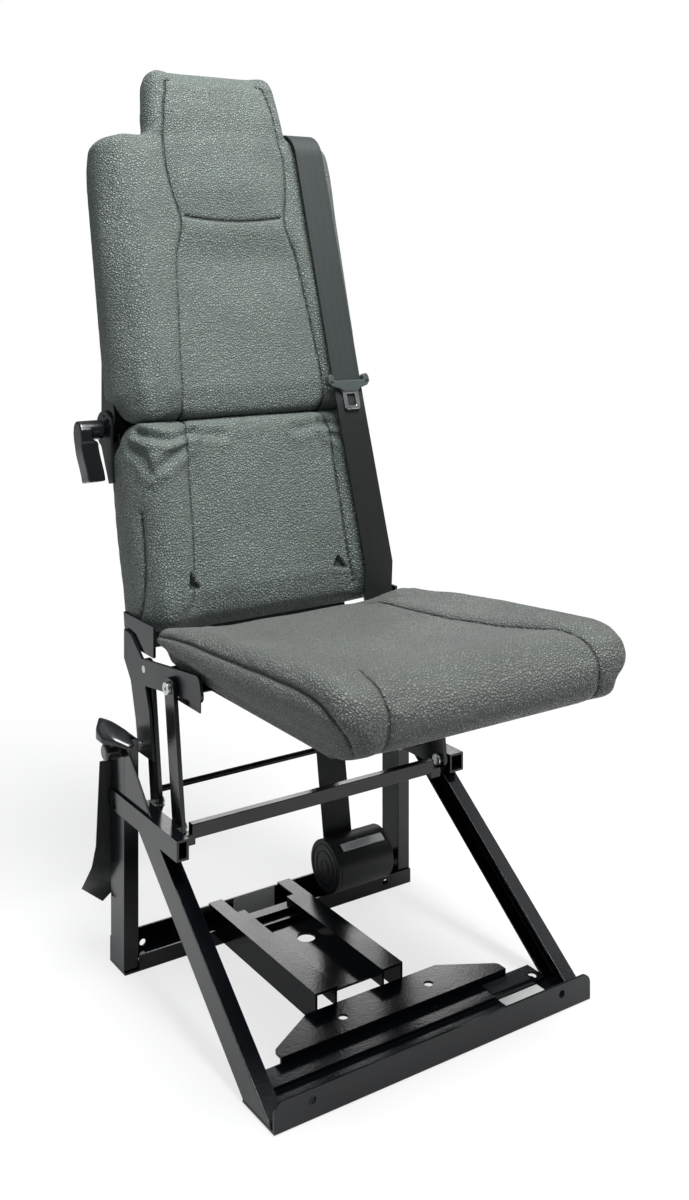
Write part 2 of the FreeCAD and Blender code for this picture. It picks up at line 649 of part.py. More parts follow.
# Hinges: inner arm on the upper back, outer disc with a tail on the lower back, pin between
g = S("disc_gap")
d0 = fl + S("plate_thick") + g
d1 = d0 + S("plate_thick")
hinge_pins = []
for s in (-1, 1):
    b = new_body(sided("hinge_arm", s))
    x0, x1 = span(s, fl, fl + S("plate_thick"))
    add_slab(b, "X", x0, x1, None, [((F, F), S("disc_r") * 0.8)])
    add_slab(b, "X", x0, x1, [(S("disc_r") * 0.6, S("disc_r") * 0.5), (-bp, S("hinge_arm_up")),
                              (-S("flange_deep"), S("hinge_arm_up")), (-S("flange_deep"), S("disc_r") * 0.4),
                              (-S("disc_r") * 0.6, -S("disc_r") * 0.3)])
    cut_slab(b, "X", x0, x1, None, [((F, F), S("pin_r") + S("gap"))])
    keep(sided("hinge_arm", s), leaned(b))
    b = new_body(sided("hinge_disc", s))
    x0, x1 = span(s, d0, d1)
    th = S("tail_half")
    add_slab(b, "X", x0, x1, None, [((F, F), S("disc_r"))])
    add_slab(b, "X", x0, x1, [(S("disc_r") * 0.6, -S("disc_r") * 0.6), (-bp, -S("tail_down")),
                              (-bp - th * 1.5, -S("tail_down")), (-S("disc_r") * 0.9, -S("disc_r") * 0.4)])
    add_slab(b, "X", *span(s, fl, d0), [(-bp, -S("tail_down") * 0.6), (-bp, -S("tail_down")),
                                        (-bp - th * 1.5, -S("tail_down")),
                                        (-bp - th * 1.5, -S("tail_down") * 0.6)])
    cut_slab(b, "X", x0, x1, None, [((F, F), S("pin_r") + S("gap")),
                                    ((-S("disc_r") * 0.2, S("disc_r") * 0.68),
                                                                    S("disc_r") * 0.08)])
    cut_slab(b, "X", x0, x1, rect(-S("disc_r") * 0.66, S("disc_r") * 0.1, -S("disc_r") * 0.5,
                                  S("disc_r") * 0.44))
    keep(sided("hinge_disc", s), leaned(b))
    pin = rod(sided("hinge_shank", s), "X", *span(s, fl + g, d1), hy, hz, S("pin_r"))
    cap = rod(sided("hinge_head", s), "X", *span(s, d1, d1 + S("head_thick") / 2), hy, hz, S("head_r"))
    hinge_pins.append(fuse(sided("hinge_pin_solid", s), [pin, cap]))
keep("hinge_pins", group("hinge_pin_pair", hinge_pins))

# Back release lever on the left: a round hub along the hinge line and a hanging blade
lh0 = d1 + S("head_thick") / 2 + g
lh1 = lh0 + S("lever_long")
b = new_body("back_release_lever")
x0, x1 = span(-1, lh0, lh1)
add_slab(b, "X", x0, x1, None, [((F, F), S("lever_hub_r"))])
x0, x1 = span(-1, lh1 - S("lever_blade") * 2, lh1)
add_slab(b, "X", x0, x1, rect(-S("lever_half"), -S("lever_down"), S("lever_half"), F))
keep("back_release_lever", leaned(b))

# Brackets between the side plates and the lower back frame
for s in (-1, 1):
    b = new_body(sided("back_bracket", s))
    add_slab(b, "X", *span(s, fl, pl0), [
        (back("bracket_front_y"), S("bracket_low")), (back("leg_top_y") - t, S("bracket_low")),
        (back("bracket_back_y"), S("heel_z")), (back("bracket_back_y") + t, S("bracket_high")),
        (back("bracket_front_y"), S("bracket_high"))])
    keep(sided("back_bracket", s), b)


# Soft pieces: lofts through sections of straight sides and rounded corners
def rounded_wire(points, radius):
    """Closed wire through 3D points in a plane with equal corner arcs."""
    count = len(points)
    edges = []
    ends = []
    for i in range(count):
        p = points[i]
        a = points[i - 1] - p
        c = points[(i + 1) % count] - p
        r = min(radius, a.Length * 0.4, c.Length * 0.4)
        ua = FreeCAD.Vector(a).normalize()
        uc = FreeCAD.Vector(c).normalize()
        p0 = p + ua * r
        p1 = p + uc * r
        mid = p + (ua + uc) * (r * 0.27)
        if (ua + uc).Length < 0.05:
            mid = (p0 + p1) / 2
        ends.append((p0, mid, p1))
    for i in range(count):
        p0, mid, p1 = ends[i]
        bow = (mid - (p0 + p1) / 2).Length
        if bow > 1e-3:
            edges.append(Part.Arc(p0, mid, p1).toShape())
        else:
            edges.append(Part.makeLine(p0, p1))
        edges.append(Part.makeLine(p1, ends[(i + 1) % count][0]))
    return Part.Wire(edges)


def soft(name, wires, place=None):
    shape = Part.makeLoft(wires, True, True)
    if shape.Volume < 0:
        shape.reverse()
    f = doc.addObject("Part::Feature", name + "_form")
    f.Shape = shape
    if place is not None:
        f.Placement = place
    keep(name, f)
    return f


def mm(name):
    return sheet.get(name)


# Seat cushion sections from front to back. Each row: share along the length, share of the half
# width, share of the height where the underside starts, share of the top line, bolster share.
SEAT_SHARES = [
    (0.0, 0.90, 0.30, 0.70, 0.04), (0.02, 0.955, 0.16, 0.88, 0.05), (0.07, 0.985, 0.05, 0.985, 0.04),
    (0.13, 0.995, 0.01, 1.0, 0.06), (0.35, 1.0, 0.0, 0.84, 0.13), (0.66, 0.985, 0.0, 0.655, 0.16),
    (0.90, 0.965, 0.0, 0.55, 0.13), (0.975, 0.95, 0.03, 0.50, 0.10), (1.0, 0.91, 0.14, 0.40, 0.05),
]
PANEL_SHARE = 0.64
TUCK_SHARES = (0.885, 0.26, 0.44)
ox = mm("origin_back")
seat_len = mm("seat_back_y") - mm("seat_front_y")
seat_high = mm("seat_front_top") - mm("seat_low")
wires = []
for along, wide, low, top, bol in SEAT_SHARES:
    y = mm("seat_front_y") + along * seat_len - ox
    hw = from_side("seat_inset").value * wide
    z0 = mm("seat_low") + low * seat_high
    z1 = mm("seat_low") + top * seat_high
    zb = z1 + bol * seat_high
    uh = min(from_side("seat_under_inset").value, hw * TUCK_SHARES[0])
    zt = z0 + (z1 - z0) * TUCK_SHARES[1]
    if along > 0.5:
        zt = max(zt, mm("arm_front_high") + mm("soft_gap") * 2)
    zm = zt + (zb - zt) * TUCK_SHARES[2]
    pw = hw * PANEL_SHARE
    pts = [(-uh, z0), (uh, z0), (uh + mm("soft_gap") * 2, zt), (hw, zm), (hw * 0.95, zb), (pw, z1),
           (-pw, z1), (-hw * 0.95, zb), (-hw, zm), (-uh - mm("soft_gap") * 2, zt)]
    wires.append(rounded_wire([FreeCAD.Vector(px, y, pz1) for px, pz1 in pts], mm("seat_round") * 0.6))
soft("seat_cushion", wires)

# Back cushion sections from bottom to top, in the upright frame of the back. Each row: share of
# the height, share of the half width, share of the depth at the front, share cut off at the rear.
LOW_SHARES = [
    (0.0, 0.93, 0.80, 0.12), (0.03, 0.975, 0.93, 0.03), (0.12, 0.985, 1.0, 0.0), (0.5, 1.0, 1.0, 0.0),
    (0.84, 0.995, 0.99, 0.0), (0.95, 0.985, 0.96, 0.20), (1.0, 0.96, 0.90, 0.34),
]
UP_SHARES = [
    (0.0, 0.96, 0.90, 0.38), (0.02, 0.985, 0.97, 0.28), (0.07, 1.0, 1.0, 0.0), (0.30, 1.0, 0.92, 0.0),
    (0.55, 1.0, 0.79, 0.0), (0.70, 1.0, 0.75, 0.0), (0.765, 0.99, 0.73, 0.03), (0.79, 0.93, 0.71, 0.10),
    (0.80, 0.62, 0.70, 0.16), (0.86, 0.60, 0.69, 0.10), (0.96, 0.57, 0.63, 0.10), (0.99, 0.54, 0.58, 0.2),
    (1.0, 0.48, 0.50, 0.3),
]
BOLSTER_SHARES = (0.93, 0.66, 0.08, 0.55)


def back_wires(rows, low, high):
    wires = []
    rear = mm("back_panel") + mm("tube_wall") + mm("soft_gap")
    deep = mm("back_thick")
    for up, wide, front, cut in rows:
        z = low + up * (high - low)
        hw = (from_side("back_inset").value - mm("soft_gap")) * wide
        yr1 = -rear - cut * (deep - rear)
        yf1 = -deep * front
        ym = yr1 + (yf1 - yr1) * BOLSTER_SHARES[3]
        yp1 = yf1 + deep * BOLSTER_SHARES[2]
        pts = [(-hw, yr1), (-hw, ym), (-hw * BOLSTER_SHARES[0], yf1), (-hw * BOLSTER_SHARES[1], yp1),
               (hw * BOLSTER_SHARES[1], yp1), (hw * BOLSTER_SHARES[0], yf1), (hw, ym), (hw, yr1)]
        wires.append(rounded_wire([FreeCAD.Vector(px, py1, z) for px, py1 in pts], mm("seat_round") * 0.6))
    return wires


soft("lower_back_cushion", back_wires(LOW_SHARES, -mm("low_bottom"), -mm("low_top")), lean_back)
soft("upper_back_cushion", back_wires(UP_SHARES, mm("up_bottom"), mm("head_up")), lean_back)


# Belt webbing as flat bands along its real route, in the upright frame of the back
def band(name, stations, place=lean_back):
    """Ruled band. Each station: x, y, z and the direction of its thickness in degrees from -Y to +Z."""
    wires = []
    hw = mm("web_width") / 2
    ht = mm("web_thick") / 2
    for x, y, z, turn in stations:
        n = FreeCAD.Vector(0, -math.cos(math.radians(turn)), math.sin(math.radians(turn)))
        c = FreeCAD.Vector(x, y, z)
        sx = FreeCAD.Vector(hw, 0, 0)
        pts = [c - sx - n * ht, c + sx - n * ht, c + sx + n * ht, c - sx + n * ht]
        wires.append(Part.makePolygon(pts + [pts[0]]))
    shape = Part.makeLoft(wires, True, True)
    if shape.Volume < 0:
        shape.reverse()
    f = doc.addObject("Part::Feature", name + "_form")
    f.Shape = shape
    f.Placement = place
    keep(name, f)
    return f


SHOULDER_DEPTH = 0.72
yb1 = mm("web_behind")
yf2 = -mm("back_thick") - mm("web_lift")
yf3 = -mm("back_thick") * SHOULDER_DEPTH - mm("web_lift")
xf = from_side("web_front_inset").value
xl = from_side("web_low_inset").value
xs = from_side("web_shoulder_inset").value
xe = from_side("web_end_inset").value
shoulder = mm("shoulder_up")
z_low = -(mm("hinge_z") - mm("drum_z") - mm("spool_r") * 0.79) / math.cos(math.radians(mm("recline_angle")))
z_split = -mm("low_bottom") - mm("corner_cut")


def rear_station(z):
    return (xl + (xs - xl) * (z - z_low) / (shoulder - z_low), yb1, z, 180)


band("belt_webbing_retractor_run", [rear_station(z_low), rear_station(z_split)])
band("belt_webbing_rear_run", [rear_station(z_split), rear_station(-mm("fold_clear"))])
ARC_STEPS = 14
rise = mm("web_rise")
yc1 = (yb1 + yf3) / 2
ra = (yb1 - yf3) / 2
stations = [rear_station(mm("fold_clear")), rear_station(shoulder - rise)]
for i in range(1, ARC_STEPS):
    a = math.pi * i / ARC_STEPS
    stations.append((xs, yc1 + ra * math.cos(a), shoulder - rise + 2 * rise * math.sin(a),
                     180 - math.degrees(math.atan2(math.sin(a) * ra * 0.5, math.cos(a) * rise * 2))))
run_top = shoulder - rise
run_low = mm("pin_r")
tilt = math.degrees(math.atan2(yf3 - yf2, run_top - run_low))
stations.append((xs, yf3, run_top, tilt))
stations.append((xf, yf2, run_low, 0))
band("belt_webbing_shoulder_run", stations)
z_bend = -mm("low_bottom") * 0.86
z_end = -mm("low_bottom") - mm("corner_cut") * 0.85
ya = -mm("back_thick") + mm("web_thick") * 0.5
band("belt_webbing_front_run", [(xf, yf2, mm("pin_r"), 0), (xe, yf2, z_bend, 0),
                                (xe, ya, -mm("low_bottom"), mm("recline_angle")),
                                (xe, ya, z_end, mm("recline_angle"))])

# Belt anchor: a tab on the right back bracket with its bolt
b = new_body("belt_anchor_tab")
ay = back("anchor_y")
add_slab(b, "Y", ay, ay + t, rect(from_side("anchor_inset"), S("anchor_low"), fl, S("anchor_high")))
ax = from_side("web_end_inset")
az = (S("anchor_low") + S("anchor_high")) / 2
keep("belt_anchor", fuse("belt_anchor_solid", [b, rod("anchor_head", "Y", ay + t / 2,
                                                     ay + t + S("head_thick"), ax,
                                                     az, S("anchor_r"))]))

# Tongue: a black grip around the webbing and a plate with a window below it
b = new_body("belt_tongue_grip")
ty = -S("back_thick") - S("web_lift")
tx = from_side("web_front_inset")
tu = S("tongue_up")
add_slab(b, "Z", tu, tu + S("tongue_grip_up"), rect(tx - S("grip_half"), ty - S("grip_deep") / 2,
                                                   tx + S("grip_half"), ty + S("grip_deep") / 2))
slot = S("web_width") / 2 + S("soft_gap")
cut_slab(b, "Z", tu, tu + S("tongue_grip_up"),
         rect(tx - slot, ty - S("web_thick"), tx + slot, ty + S("web_thick")))
round_edges(b, "Y", [(tx + k * S("grip_half"), None, tu + m * S("tongue_grip_up")) for k in (-1, 1)
                     for m in (0, 1)], t)
keep("belt_tongue_grip", along_belt(b, yf2, run_low, tilt))
b = new_body("belt_tongue_plate")
tp = ty - S("grip_deep") / 2 + wall / 2
tw = S("tongue_half")
add_slab(b, "Y", tp, tp + S("tongue_thick"), rect(tx - tw, tu - S("tongue_long"), tx + tw, tu))
cut_slab(b, "Y", tp, tp + S("tongue_thick"), rect(tx - tw / 2, tu - S("tongue_long") * 0.8, tx + tw / 2,
                                                  tu - S("tongue_long") * 0.4))
round_edges(b, "Y", [(tx - tw, tp, tu - S("tongue_long")), (tx + tw, tp, tu - S("tongue_long"))], t)
keep("belt_tongue_plate", along_belt(b, yf2, run_low, tilt))

# Latch on the left post: sliding pin and a handle with a hub, a neck and a grip
ly = back("latch_y")
lz = S("latch_z")
tip = pl1 + S("latch_tip_gap")
keep("latch_pin", rod("latch_pin_bar", "X", *span(-1, tip, half - S("gap") - S("latch_travel") * 0.5), ly, lz,
                      S("latch_r")))
hx0 = half + S("gap")
b = new_body("latch_handle")
x0, x1 = span(-1, hx0, hx0 + S("hub_long"))
add_slab(b, "X", x0, x1, None, [((ly, lz), S("hub_r"))])
n0, n1 = span(-1, hx0 + S("hub_long") * 0.3, hx0 + S("hub_long") * 0.8)
add_slab(b, "X", n0, n1, rect(ly - S("hub_r") * 0.8, lz, ly + S("hub_r") * 0.6, S("grip_low")))
gf = back("grip_front_y")
gb = back("grip_back_y")
gx = -hx0 - S("grip_out")
gm = (gf + gb) / 2
add_slab(b, "Z", S("grip_low"), S("grip_high"), [(gx, gm + S("hub_r")), (gx, gm - S("hub_r") / 2),
                                                 (-hx0 - t * 3, gf), (-hx0, gf), (-hx0, gf + S("hub_r") * 2),
                                                 (-hx0 - S("hub_long"), gb)])
keep("latch_handle", b)

# Belt retractor: housing on a foot, end cap, spool and tie strip
dy = back("drum_y")
dz = S("drum_z")
dr = S("drum_r")
c0 = from_side("drum_left_inset")
c1 = c0 + S("cap_thick")
c2 = from_side("drum_right_inset")
sw = S("shell_wall")
flat = S("drum_r") * 0.94
b = new_body("retractor_housing")
add_slab(b, "X", c1, c2, None, [((dy, dz), dr)])
cut_slab(b, "X", c1 + sw, c2 - sw, None, [((dy, dz), dr - sw)])
cut_slab(b, "X", c1, c2, rect(dy + flat, dz - dr, dy + dr + t, dz + dr))
slot0 = from_side("web_low_inset") - S("web_width") / 2 - S("soft_gap")
slot1 = from_side("web_low_inset") + S("web_width") / 2 + S("soft_gap")
cut_slab(b, "Z", dz + sw * 2, dz + dr, rect(slot0, dy + sw * 3, slot1, dy + sw * 6))
# flat for the tie strip, normal leaning forward and up
nu = 0.574
nv = 0.819
k1 = 0.95
k2 = 1.1
kw = 0.42
cut_slab(b, "X", c1 + sw, c2 - sw, [
    (dy - dr * (nu * k1 + nv * kw), dz + dr * (nv * k1 - nu * kw)),
    (dy - dr * (nu * k1 - nv * kw), dz + dr * (nv * k1 + nu * kw)),
    (dy - dr * (nu * k2 - nv * kw), dz + dr * (nv * k2 + nu * kw)),
    (dy - dr * (nu * k2 + nv * kw), dz + dr * (nv * k2 - nu * kw))])
keep("retractor_housing", b)
b = new_body("retractor_tie_strip")
k3 = 1.03
kt = 0.16
add_slab(b, "X", c1 + sw * 2, c2 - sw * 2, [
    (dy - dr * (nu * k1 + nv * kt), dz + dr * (nv * k1 - nu * kt)),
    (dy - dr * (nu * k1 - nv * kt), dz + dr * (nv * k1 + nu * kt)),
    (dy - dr * (nu * k3 - nv * kt), dz + dr * (nv * k3 + nu * kt)),
    (dy - dr * (nu * k3 + nv * kt), dz + dr * (nv * k3 - nu * kt))])
keep("retractor_tie_strip", b)
b = new_body("retractor_end_cap")
add_slab(b, "X", c0, c1, None, [((dy, dz), dr)])
cut_slab(b, "X", c0 + t, c1, None, [((dy, dz), dr - sw)])
keep("retractor_end_cap", b)
core = rod("spool_core", "X", c1 + sw + S("gap") * 2, c2 - sw - S("gap") * 2, dy, dz, S("spool_core_r"))
drum = rod("spool_drum", "X", c1 + sw + S("gap") * 2, slot1 - S("gap"), dy, dz, S("spool_r"))
keep("retractor_spool", fuse("spool_solid", [core, drum]))
b = new_body("retractor_foot")
add_slab(b, "Y", dy + flat, dy + flat + t, rect(c1 + sw * 2, t, c2 - sw * 2, dz + sw * 2))
add_slab(b, "Z", t, t * 2, rect(c1 + sw * 2, yr + t, c2 - sw * 2, dy + flat))
keep("retractor_foot", b)

# Hanging pull strap behind the left post with its bolt
sy = yk + S("strap_lift")
sx = half - S("tube_width") / 2
keep("strap_bolt", fuse("strap_bolt_solid", [
    rod("strap_shank", "Y", yk, sy + S("web_thick"), -sx, S("strap_bolt_z"), S("pivot_r")),
    rod("strap_head", "Y", sy + S("web_thick"), sy + S("web_thick") + S("head_thick"), -sx, S("strap_bolt_z"),
        S("head_r"))]))
STRAP_SHARES = [
    (1.0, 0.0, 0.0, 0.0), (0.4, -0.11, 0.0, 0.0), (0.24, -0.17, 0.15, 0.0), (0.1, -0.17, 0.6, 0.34),
    (0.0, -0.13, 0.98, 0.55),
]
lo = mm("strap_low_z")
tall = mm("strap_top_z") - lo
wide = mm("web_width")
left = -mm("frame_width") / 2 - mm("strap_out")
wires = []
for up, out, deep, turn in STRAP_SHARES:
    z = lo + up * tall
    base_y = sy.value
    a = FreeCAD.Vector(left + out * wide, base_y + deep * wide, z)
    run = math.sqrt(max(0.0, wide * wide - (deep * wide) ** 2))
    c = FreeCAD.Vector(a.x + run, base_y, z)
    n = FreeCAD.Vector(-(c.y - a.y), c.x - a.x, 0).normalize() * mm("web_thick")
    wires.append(Part.makePolygon([a, c, c + n, a + n, a]))
shape = Part.makeLoft(wires, True, True)
hole = Part.makeCylinder(mm("pivot_r") + mm("gap"), mm("strap_lift") * 2,
                         FreeCAD.Vector(-sx.value, yk.value, mm("strap_bolt_z")), FreeCAD.Vector(0, 1, 0))
f = doc.addObject("Part::Feature", "pull_strap_form")
f.Shape = shape.cut(hole)
keep("pull_strap", f)

# Blank label plates
lt = S("label_thick")
b = new_body("front_label_plate")
add_slab(b, "Z", t, t + lt,
         rect(S("label_left"), back("label_front_y"), S("label_right"), back("label_back_y")))
label_a = b
b = new_body("front_dark_plate")
add_slab(b, "Z", S("step_height"), S("step_height") + lt * 2,
         rect(S("dark_left"), back("dark_front_y"), S("dark_right"), back("dark_back_y")))
keep("front_dark_plate", b)
b = new_body("rear_label_plate")
add_slab(b, "Y", yw - t - lt, yw - t, rect(-S("rear_label_left"), S("rear_label_low"), S("rear_label_right"),
                                           S("rear_label_high")))
keep("label_plates", group("label_plate_pair", [label_a, b]))

# Check every object, then write one file for each piece
doc.recompute()
for obj in doc.Objects:
    if "Invalid" in obj.State or "Error" in obj.State:
        raise RuntimeError("object not valid: " + obj.Name)
for name, obj in made:
    sh = obj.Shape
    if sh.isNull() or not sh.isValid() or not sh.Solids:
        raise RuntimeError("bad shape: " + name)
for name, obj in made:
    obj.Shape.exportStep("parts/%s.step" % name)
print("pieces", len(made))
for name, obj in made:
    bb = obj.Shape.BoundBox
    print("%-30s solids %d  x %.1f..%.1f y %.1f..%.1f z %.1f..%.1f" % (
        name, len(obj.Shape.Solids), bb.XMin, bb.XMax, bb.YMin, bb.YMax, bb.ZMin, bb.ZMax))
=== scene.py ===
"""Folding vehicle seat with its own belt: the looks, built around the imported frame."""
import json
import math

import bmesh
import bpy
import numpy as np
from mathutils import Matrix, Vector, noise
from mathutils.bvhtree import BVHTree
from mathutils.kdtree import KDTree

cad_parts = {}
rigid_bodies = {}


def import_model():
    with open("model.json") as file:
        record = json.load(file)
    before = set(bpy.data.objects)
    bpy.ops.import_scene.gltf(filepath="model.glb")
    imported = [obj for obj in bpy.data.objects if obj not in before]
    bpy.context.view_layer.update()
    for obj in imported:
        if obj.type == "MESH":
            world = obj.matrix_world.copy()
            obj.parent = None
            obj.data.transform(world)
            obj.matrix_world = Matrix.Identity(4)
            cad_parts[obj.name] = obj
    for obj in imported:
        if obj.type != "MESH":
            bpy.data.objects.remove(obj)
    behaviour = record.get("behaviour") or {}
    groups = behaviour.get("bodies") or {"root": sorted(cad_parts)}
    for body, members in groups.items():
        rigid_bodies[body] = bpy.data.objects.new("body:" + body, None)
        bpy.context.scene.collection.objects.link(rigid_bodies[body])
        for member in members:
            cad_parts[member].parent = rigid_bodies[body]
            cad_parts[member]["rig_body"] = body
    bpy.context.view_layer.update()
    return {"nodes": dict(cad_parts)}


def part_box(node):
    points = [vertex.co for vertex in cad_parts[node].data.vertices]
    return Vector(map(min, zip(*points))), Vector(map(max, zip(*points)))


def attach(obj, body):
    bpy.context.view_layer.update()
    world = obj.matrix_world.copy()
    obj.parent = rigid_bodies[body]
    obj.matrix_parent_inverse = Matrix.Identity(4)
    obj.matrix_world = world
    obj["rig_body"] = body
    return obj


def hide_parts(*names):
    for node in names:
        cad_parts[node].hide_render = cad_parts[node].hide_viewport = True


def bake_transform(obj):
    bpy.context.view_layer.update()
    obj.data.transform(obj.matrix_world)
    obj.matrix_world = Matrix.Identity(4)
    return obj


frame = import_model()

bl_info = {
    "name": "Folding vehicle seat",
    "version": (1, 0, 0),
    "blender": (4, 5, 0),
    "location": "View3D > Sidebar > Seat",
    "description": "Dresses a folding vehicle seat: steel frame, leatherette cushions, belt and handles",
    "category": "Object",
}

# Hinge line of the back and its lean, which the cushions' seams are laid out from
HINGE = Vector((0, 0.108, 0.674))
LEAN = math.radians(11.9)

# Camera of the view from the front left: place, level aim and lens
CAMERA_PLACE = (-0.9152, -1.5403, 0.8938)
CAMERA_TURN = math.radians(34.06)
CAMERA_LENS = 39.06
CAMERA_SHIFT = -0.2772


def length_field(name, description, value, low, high):
    return bpy.props.FloatProperty(name=name, description=description, default=value, min=low, max=high,
                                   unit="LENGTH")


def colour_field(name, description, value):
    return bpy.props.FloatVectorProperty(name=name, description=description, subtype="COLOR", size=3,
                                         default=value, min=0, max=1)


class SeatSizes(bpy.types.PropertyGroup):
    edge_round: length_field("Edge round", "Radius on the edges of bent and cut steel", 0.0009, 0.0001, 0.003)
    voxel: length_field("Cushion mesh", "Cell size of the cushions before they swell", 0.005, 0.003, 0.012)
    swell: length_field("Swell", "Furthest that a cushion's cover moves out", 0.006, 0.0, 0.02)
    seam_width: length_field("Seam width", "Half width of the narrow groove along a seam", 0.0028, 0.001, 0.008)
    seam_depth: length_field("Seam depth", "Depth of the groove along a seam", 0.0030, 0.0, 0.008)
    grain_size: length_field("Grain size", "Size of one pebble of the grain", 0.0036, 0.0005, 0.006)
    rib_count: bpy.props.FloatProperty(
        name="Webbing ribs", description="Ribs across the width of the webbing", default=20.0, min=5, max=60)


class SeatColours(bpy.types.PropertyGroup):
    leatherette: colour_field("Leatherette", "Grey-green cover of the back", (0.158, 0.192, 0.173))
    # The seat's cover is darker than the back's, part of it painted shade for the stronger light on the seat
    # top
    seat_leatherette_painted_shade: colour_field("Seat leatherette with painted shade", "Warmer grey cover of the seat, darker as painted shade", (0.124, 0.137, 0.125))
    steel_paint: colour_field("Steel paint", "Black powder coat", (0.0030, 0.0040, 0.0060))
    # The side plates' coat is lighter than the black as painted reflection: it stands in for the light their
    # left faces reflect
    grey_paint_painted_reflection: colour_field("Grey paint with painted reflection", "Coat of the side plates, lighter as painted reflection", (0.0085, 0.0100, 0.0120))
    plastic: colour_field("Plastic", "Moulded handles and housing", (0.0065, 0.0070, 0.0085))
    grip_plastic: colour_field("Grip plastic", "Moulded grip of the belt tongue", (0.050, 0.060, 0.060))
    webbing: colour_field("Webbing", "Belt webbing", (0.0155, 0.0210, 0.0218))
    zinc: colour_field("Zinc", "Plated bolts and strip", (0.62, 0.63, 0.61))
    label: colour_field("Label", "Blank label plates", (0.72, 0.73, 0.71))


def sizes():
    return bpy.context.scene.seat_sizes


def colours():
    return bpy.context.scene.seat_colours


def leaned_all(local):
    """Row points of many places on the back: (x, depth behind the hinge line, height along the lean)."""
    return np.stack((local[:, 0],
                     HINGE.y + local[:, 1] * math.cos(LEAN) + local[:, 2] * math.sin(LEAN),
                     HINGE.z - local[:, 1] * math.sin(LEAN) + local[:, 2] * math.cos(LEAN)), axis=1)


def leaned(x, depth, height):
    return Vector(leaned_all(np.array([[x, depth, height]]))[0])


def upright(points):
    """Row points as (x, depth, height) in the leaned back's own frame."""
    dy = points[:, 1] - HINGE.y
    dz = points[:, 2] - HINGE.z
    return np.stack((points[:, 0], dy * math.cos(LEAN) - dz * math.sin(LEAN),
                     dy * math.sin(LEAN) + dz * math.cos(LEAN)), axis=1)


# Shader helpers
def put(tree, kind, **settings):
    made = tree.nodes.new(kind)
    for key, value in settings.items():
        setattr(made, key, value)
    return made


def fill(node, **values):
    """A node with some of its inputs set by name, with _ for a space."""
    for key, value in values.items():
        node.inputs[key.replace("_", " ")].default_value = value
    return node


def wire(tree, source, target):
    tree.links.new(source, target)


def feed(tree, value, target):
    """An input's value, or a wire to it from another node."""
    if isinstance(value, bpy.types.NodeSocket):
        wire(tree, value, target)
    else:
        target.default_value = value


def math_node(tree, operation, first, second=None):
    made = put(tree, "ShaderNodeMath", operation=operation)
    feed(tree, first, made.inputs[0])
    if second is not None:
        feed(tree, second, made.inputs[1])
    return made.outputs[0]


def times(tree, first, second):
    return math_node(tree, "MULTIPLY", first, second)


def spread(tree, value, low, high, to_low=0.0, to_high=1.0, smooth=False):
    made = put(tree, "ShaderNodeMapRange", interpolation_type="SMOOTHSTEP" if smooth else "LINEAR")
    wire(tree, value, made.inputs["Value"])
    return fill(made, From_Min=low, From_Max=high, To_Min=to_low, To_Max=to_high).outputs["Result"]


def blend_colour(tree, factor, first, second):
    made = put(tree, "ShaderNodeMix", data_type="RGBA")
    wire(tree, factor, made.inputs[0])
    for socket, value in ((made.inputs[6], first), (made.inputs[7], second)):
        feed(tree, (*value, 1.0) if isinstance(value, tuple) else value, socket)
    return made.outputs[2]


def scaled(base, share):
    return tuple(min(1.0, channel * share) for channel in base)


def object_place(tree):
    return put(tree, "ShaderNodeTexCoord").outputs["Object"]


def parts_of(tree, vector):
    made = put(tree, "ShaderNodeSeparateXYZ")
    wire(tree, vector, made.inputs[0])
    return made.outputs


def group_tree(name, inputs, outputs):
    tree = bpy.data.node_groups.new(name, "ShaderNodeTree")
    for label, default in inputs:
        socket = tree.interface.new_socket(name=label, in_out="INPUT", socket_type="NodeSocketFloat")
        socket.default_value = default
    for label in outputs:
        tree.interface.new_socket(name=label, in_out="OUTPUT", socket_type="NodeSocketFloat")
    return tree, put(tree, "NodeGroupInput"), put(tree, "NodeGroupOutput")


def noise_node(tree, place, scale, detail=2.0):
    made = fill(put(tree, "ShaderNodeTexNoise"), Detail=detail, Roughness=0.5)
    wire(tree, place, made.inputs["Vector"])
    feed(tree, scale, made.inputs["Scale"])
    return made.outputs


def grain_group():
    """Pebbled leatherette: Height of the pebbles, Pit between them, where the leatherette paints shade, slow
    Tone over the cover.
    """
    if found := bpy.data.node_groups.get("Pebbled grain"):
        return found
    tree, start, end = group_tree("Pebbled grain", [("Cells per metre", 400.0), ("Stretch", 0.0014)],
                                  ["Height", "Pit", "Tone"])
    place = object_place(tree)
    centred = put(tree, "ShaderNodeVectorMath", operation="SUBTRACT")
    wire(tree, noise_node(tree, place, 260.0, 1.0)["Color"], centred.inputs[0])
    centred.inputs[1].default_value = (0.5, 0.5, 0.5)
    push = put(tree, "ShaderNodeVectorMath", operation="SCALE")
    wire(tree, centred.outputs[0], push.inputs[0])
    wire(tree, start.outputs["Stretch"], push.inputs["Scale"])
    moved = put(tree, "ShaderNodeVectorMath", operation="ADD")
    wire(tree, place, moved.inputs[0])
    wire(tree, push.outputs[0], moved.inputs[1])
    cells = put(tree, "ShaderNodeTexVoronoi", feature="DISTANCE_TO_EDGE")
    wire(tree, moved.outputs[0], cells.inputs["Vector"])
    wire(tree, start.outputs["Cells per metre"], cells.inputs["Scale"])
    gap = cells.outputs["Distance"]
    fine = times(tree, noise_node(tree, place, 1500.0, 1.0)["Fac"], 0.25)
    wire(tree, math_node(tree, "ADD", spread(tree, gap, 0.0, 0.32, smooth=True), fine), end.inputs["Height"])
    wire(tree, math_node(tree, "SUBTRACT", 1.0, spread(tree, gap, 0.01, 0.26, smooth=True)), end.inputs["Pit"])
    wire(tree, noise_node(tree, place, 9.0, 3.0)["Fac"], end.inputs["Tone"])
    return tree


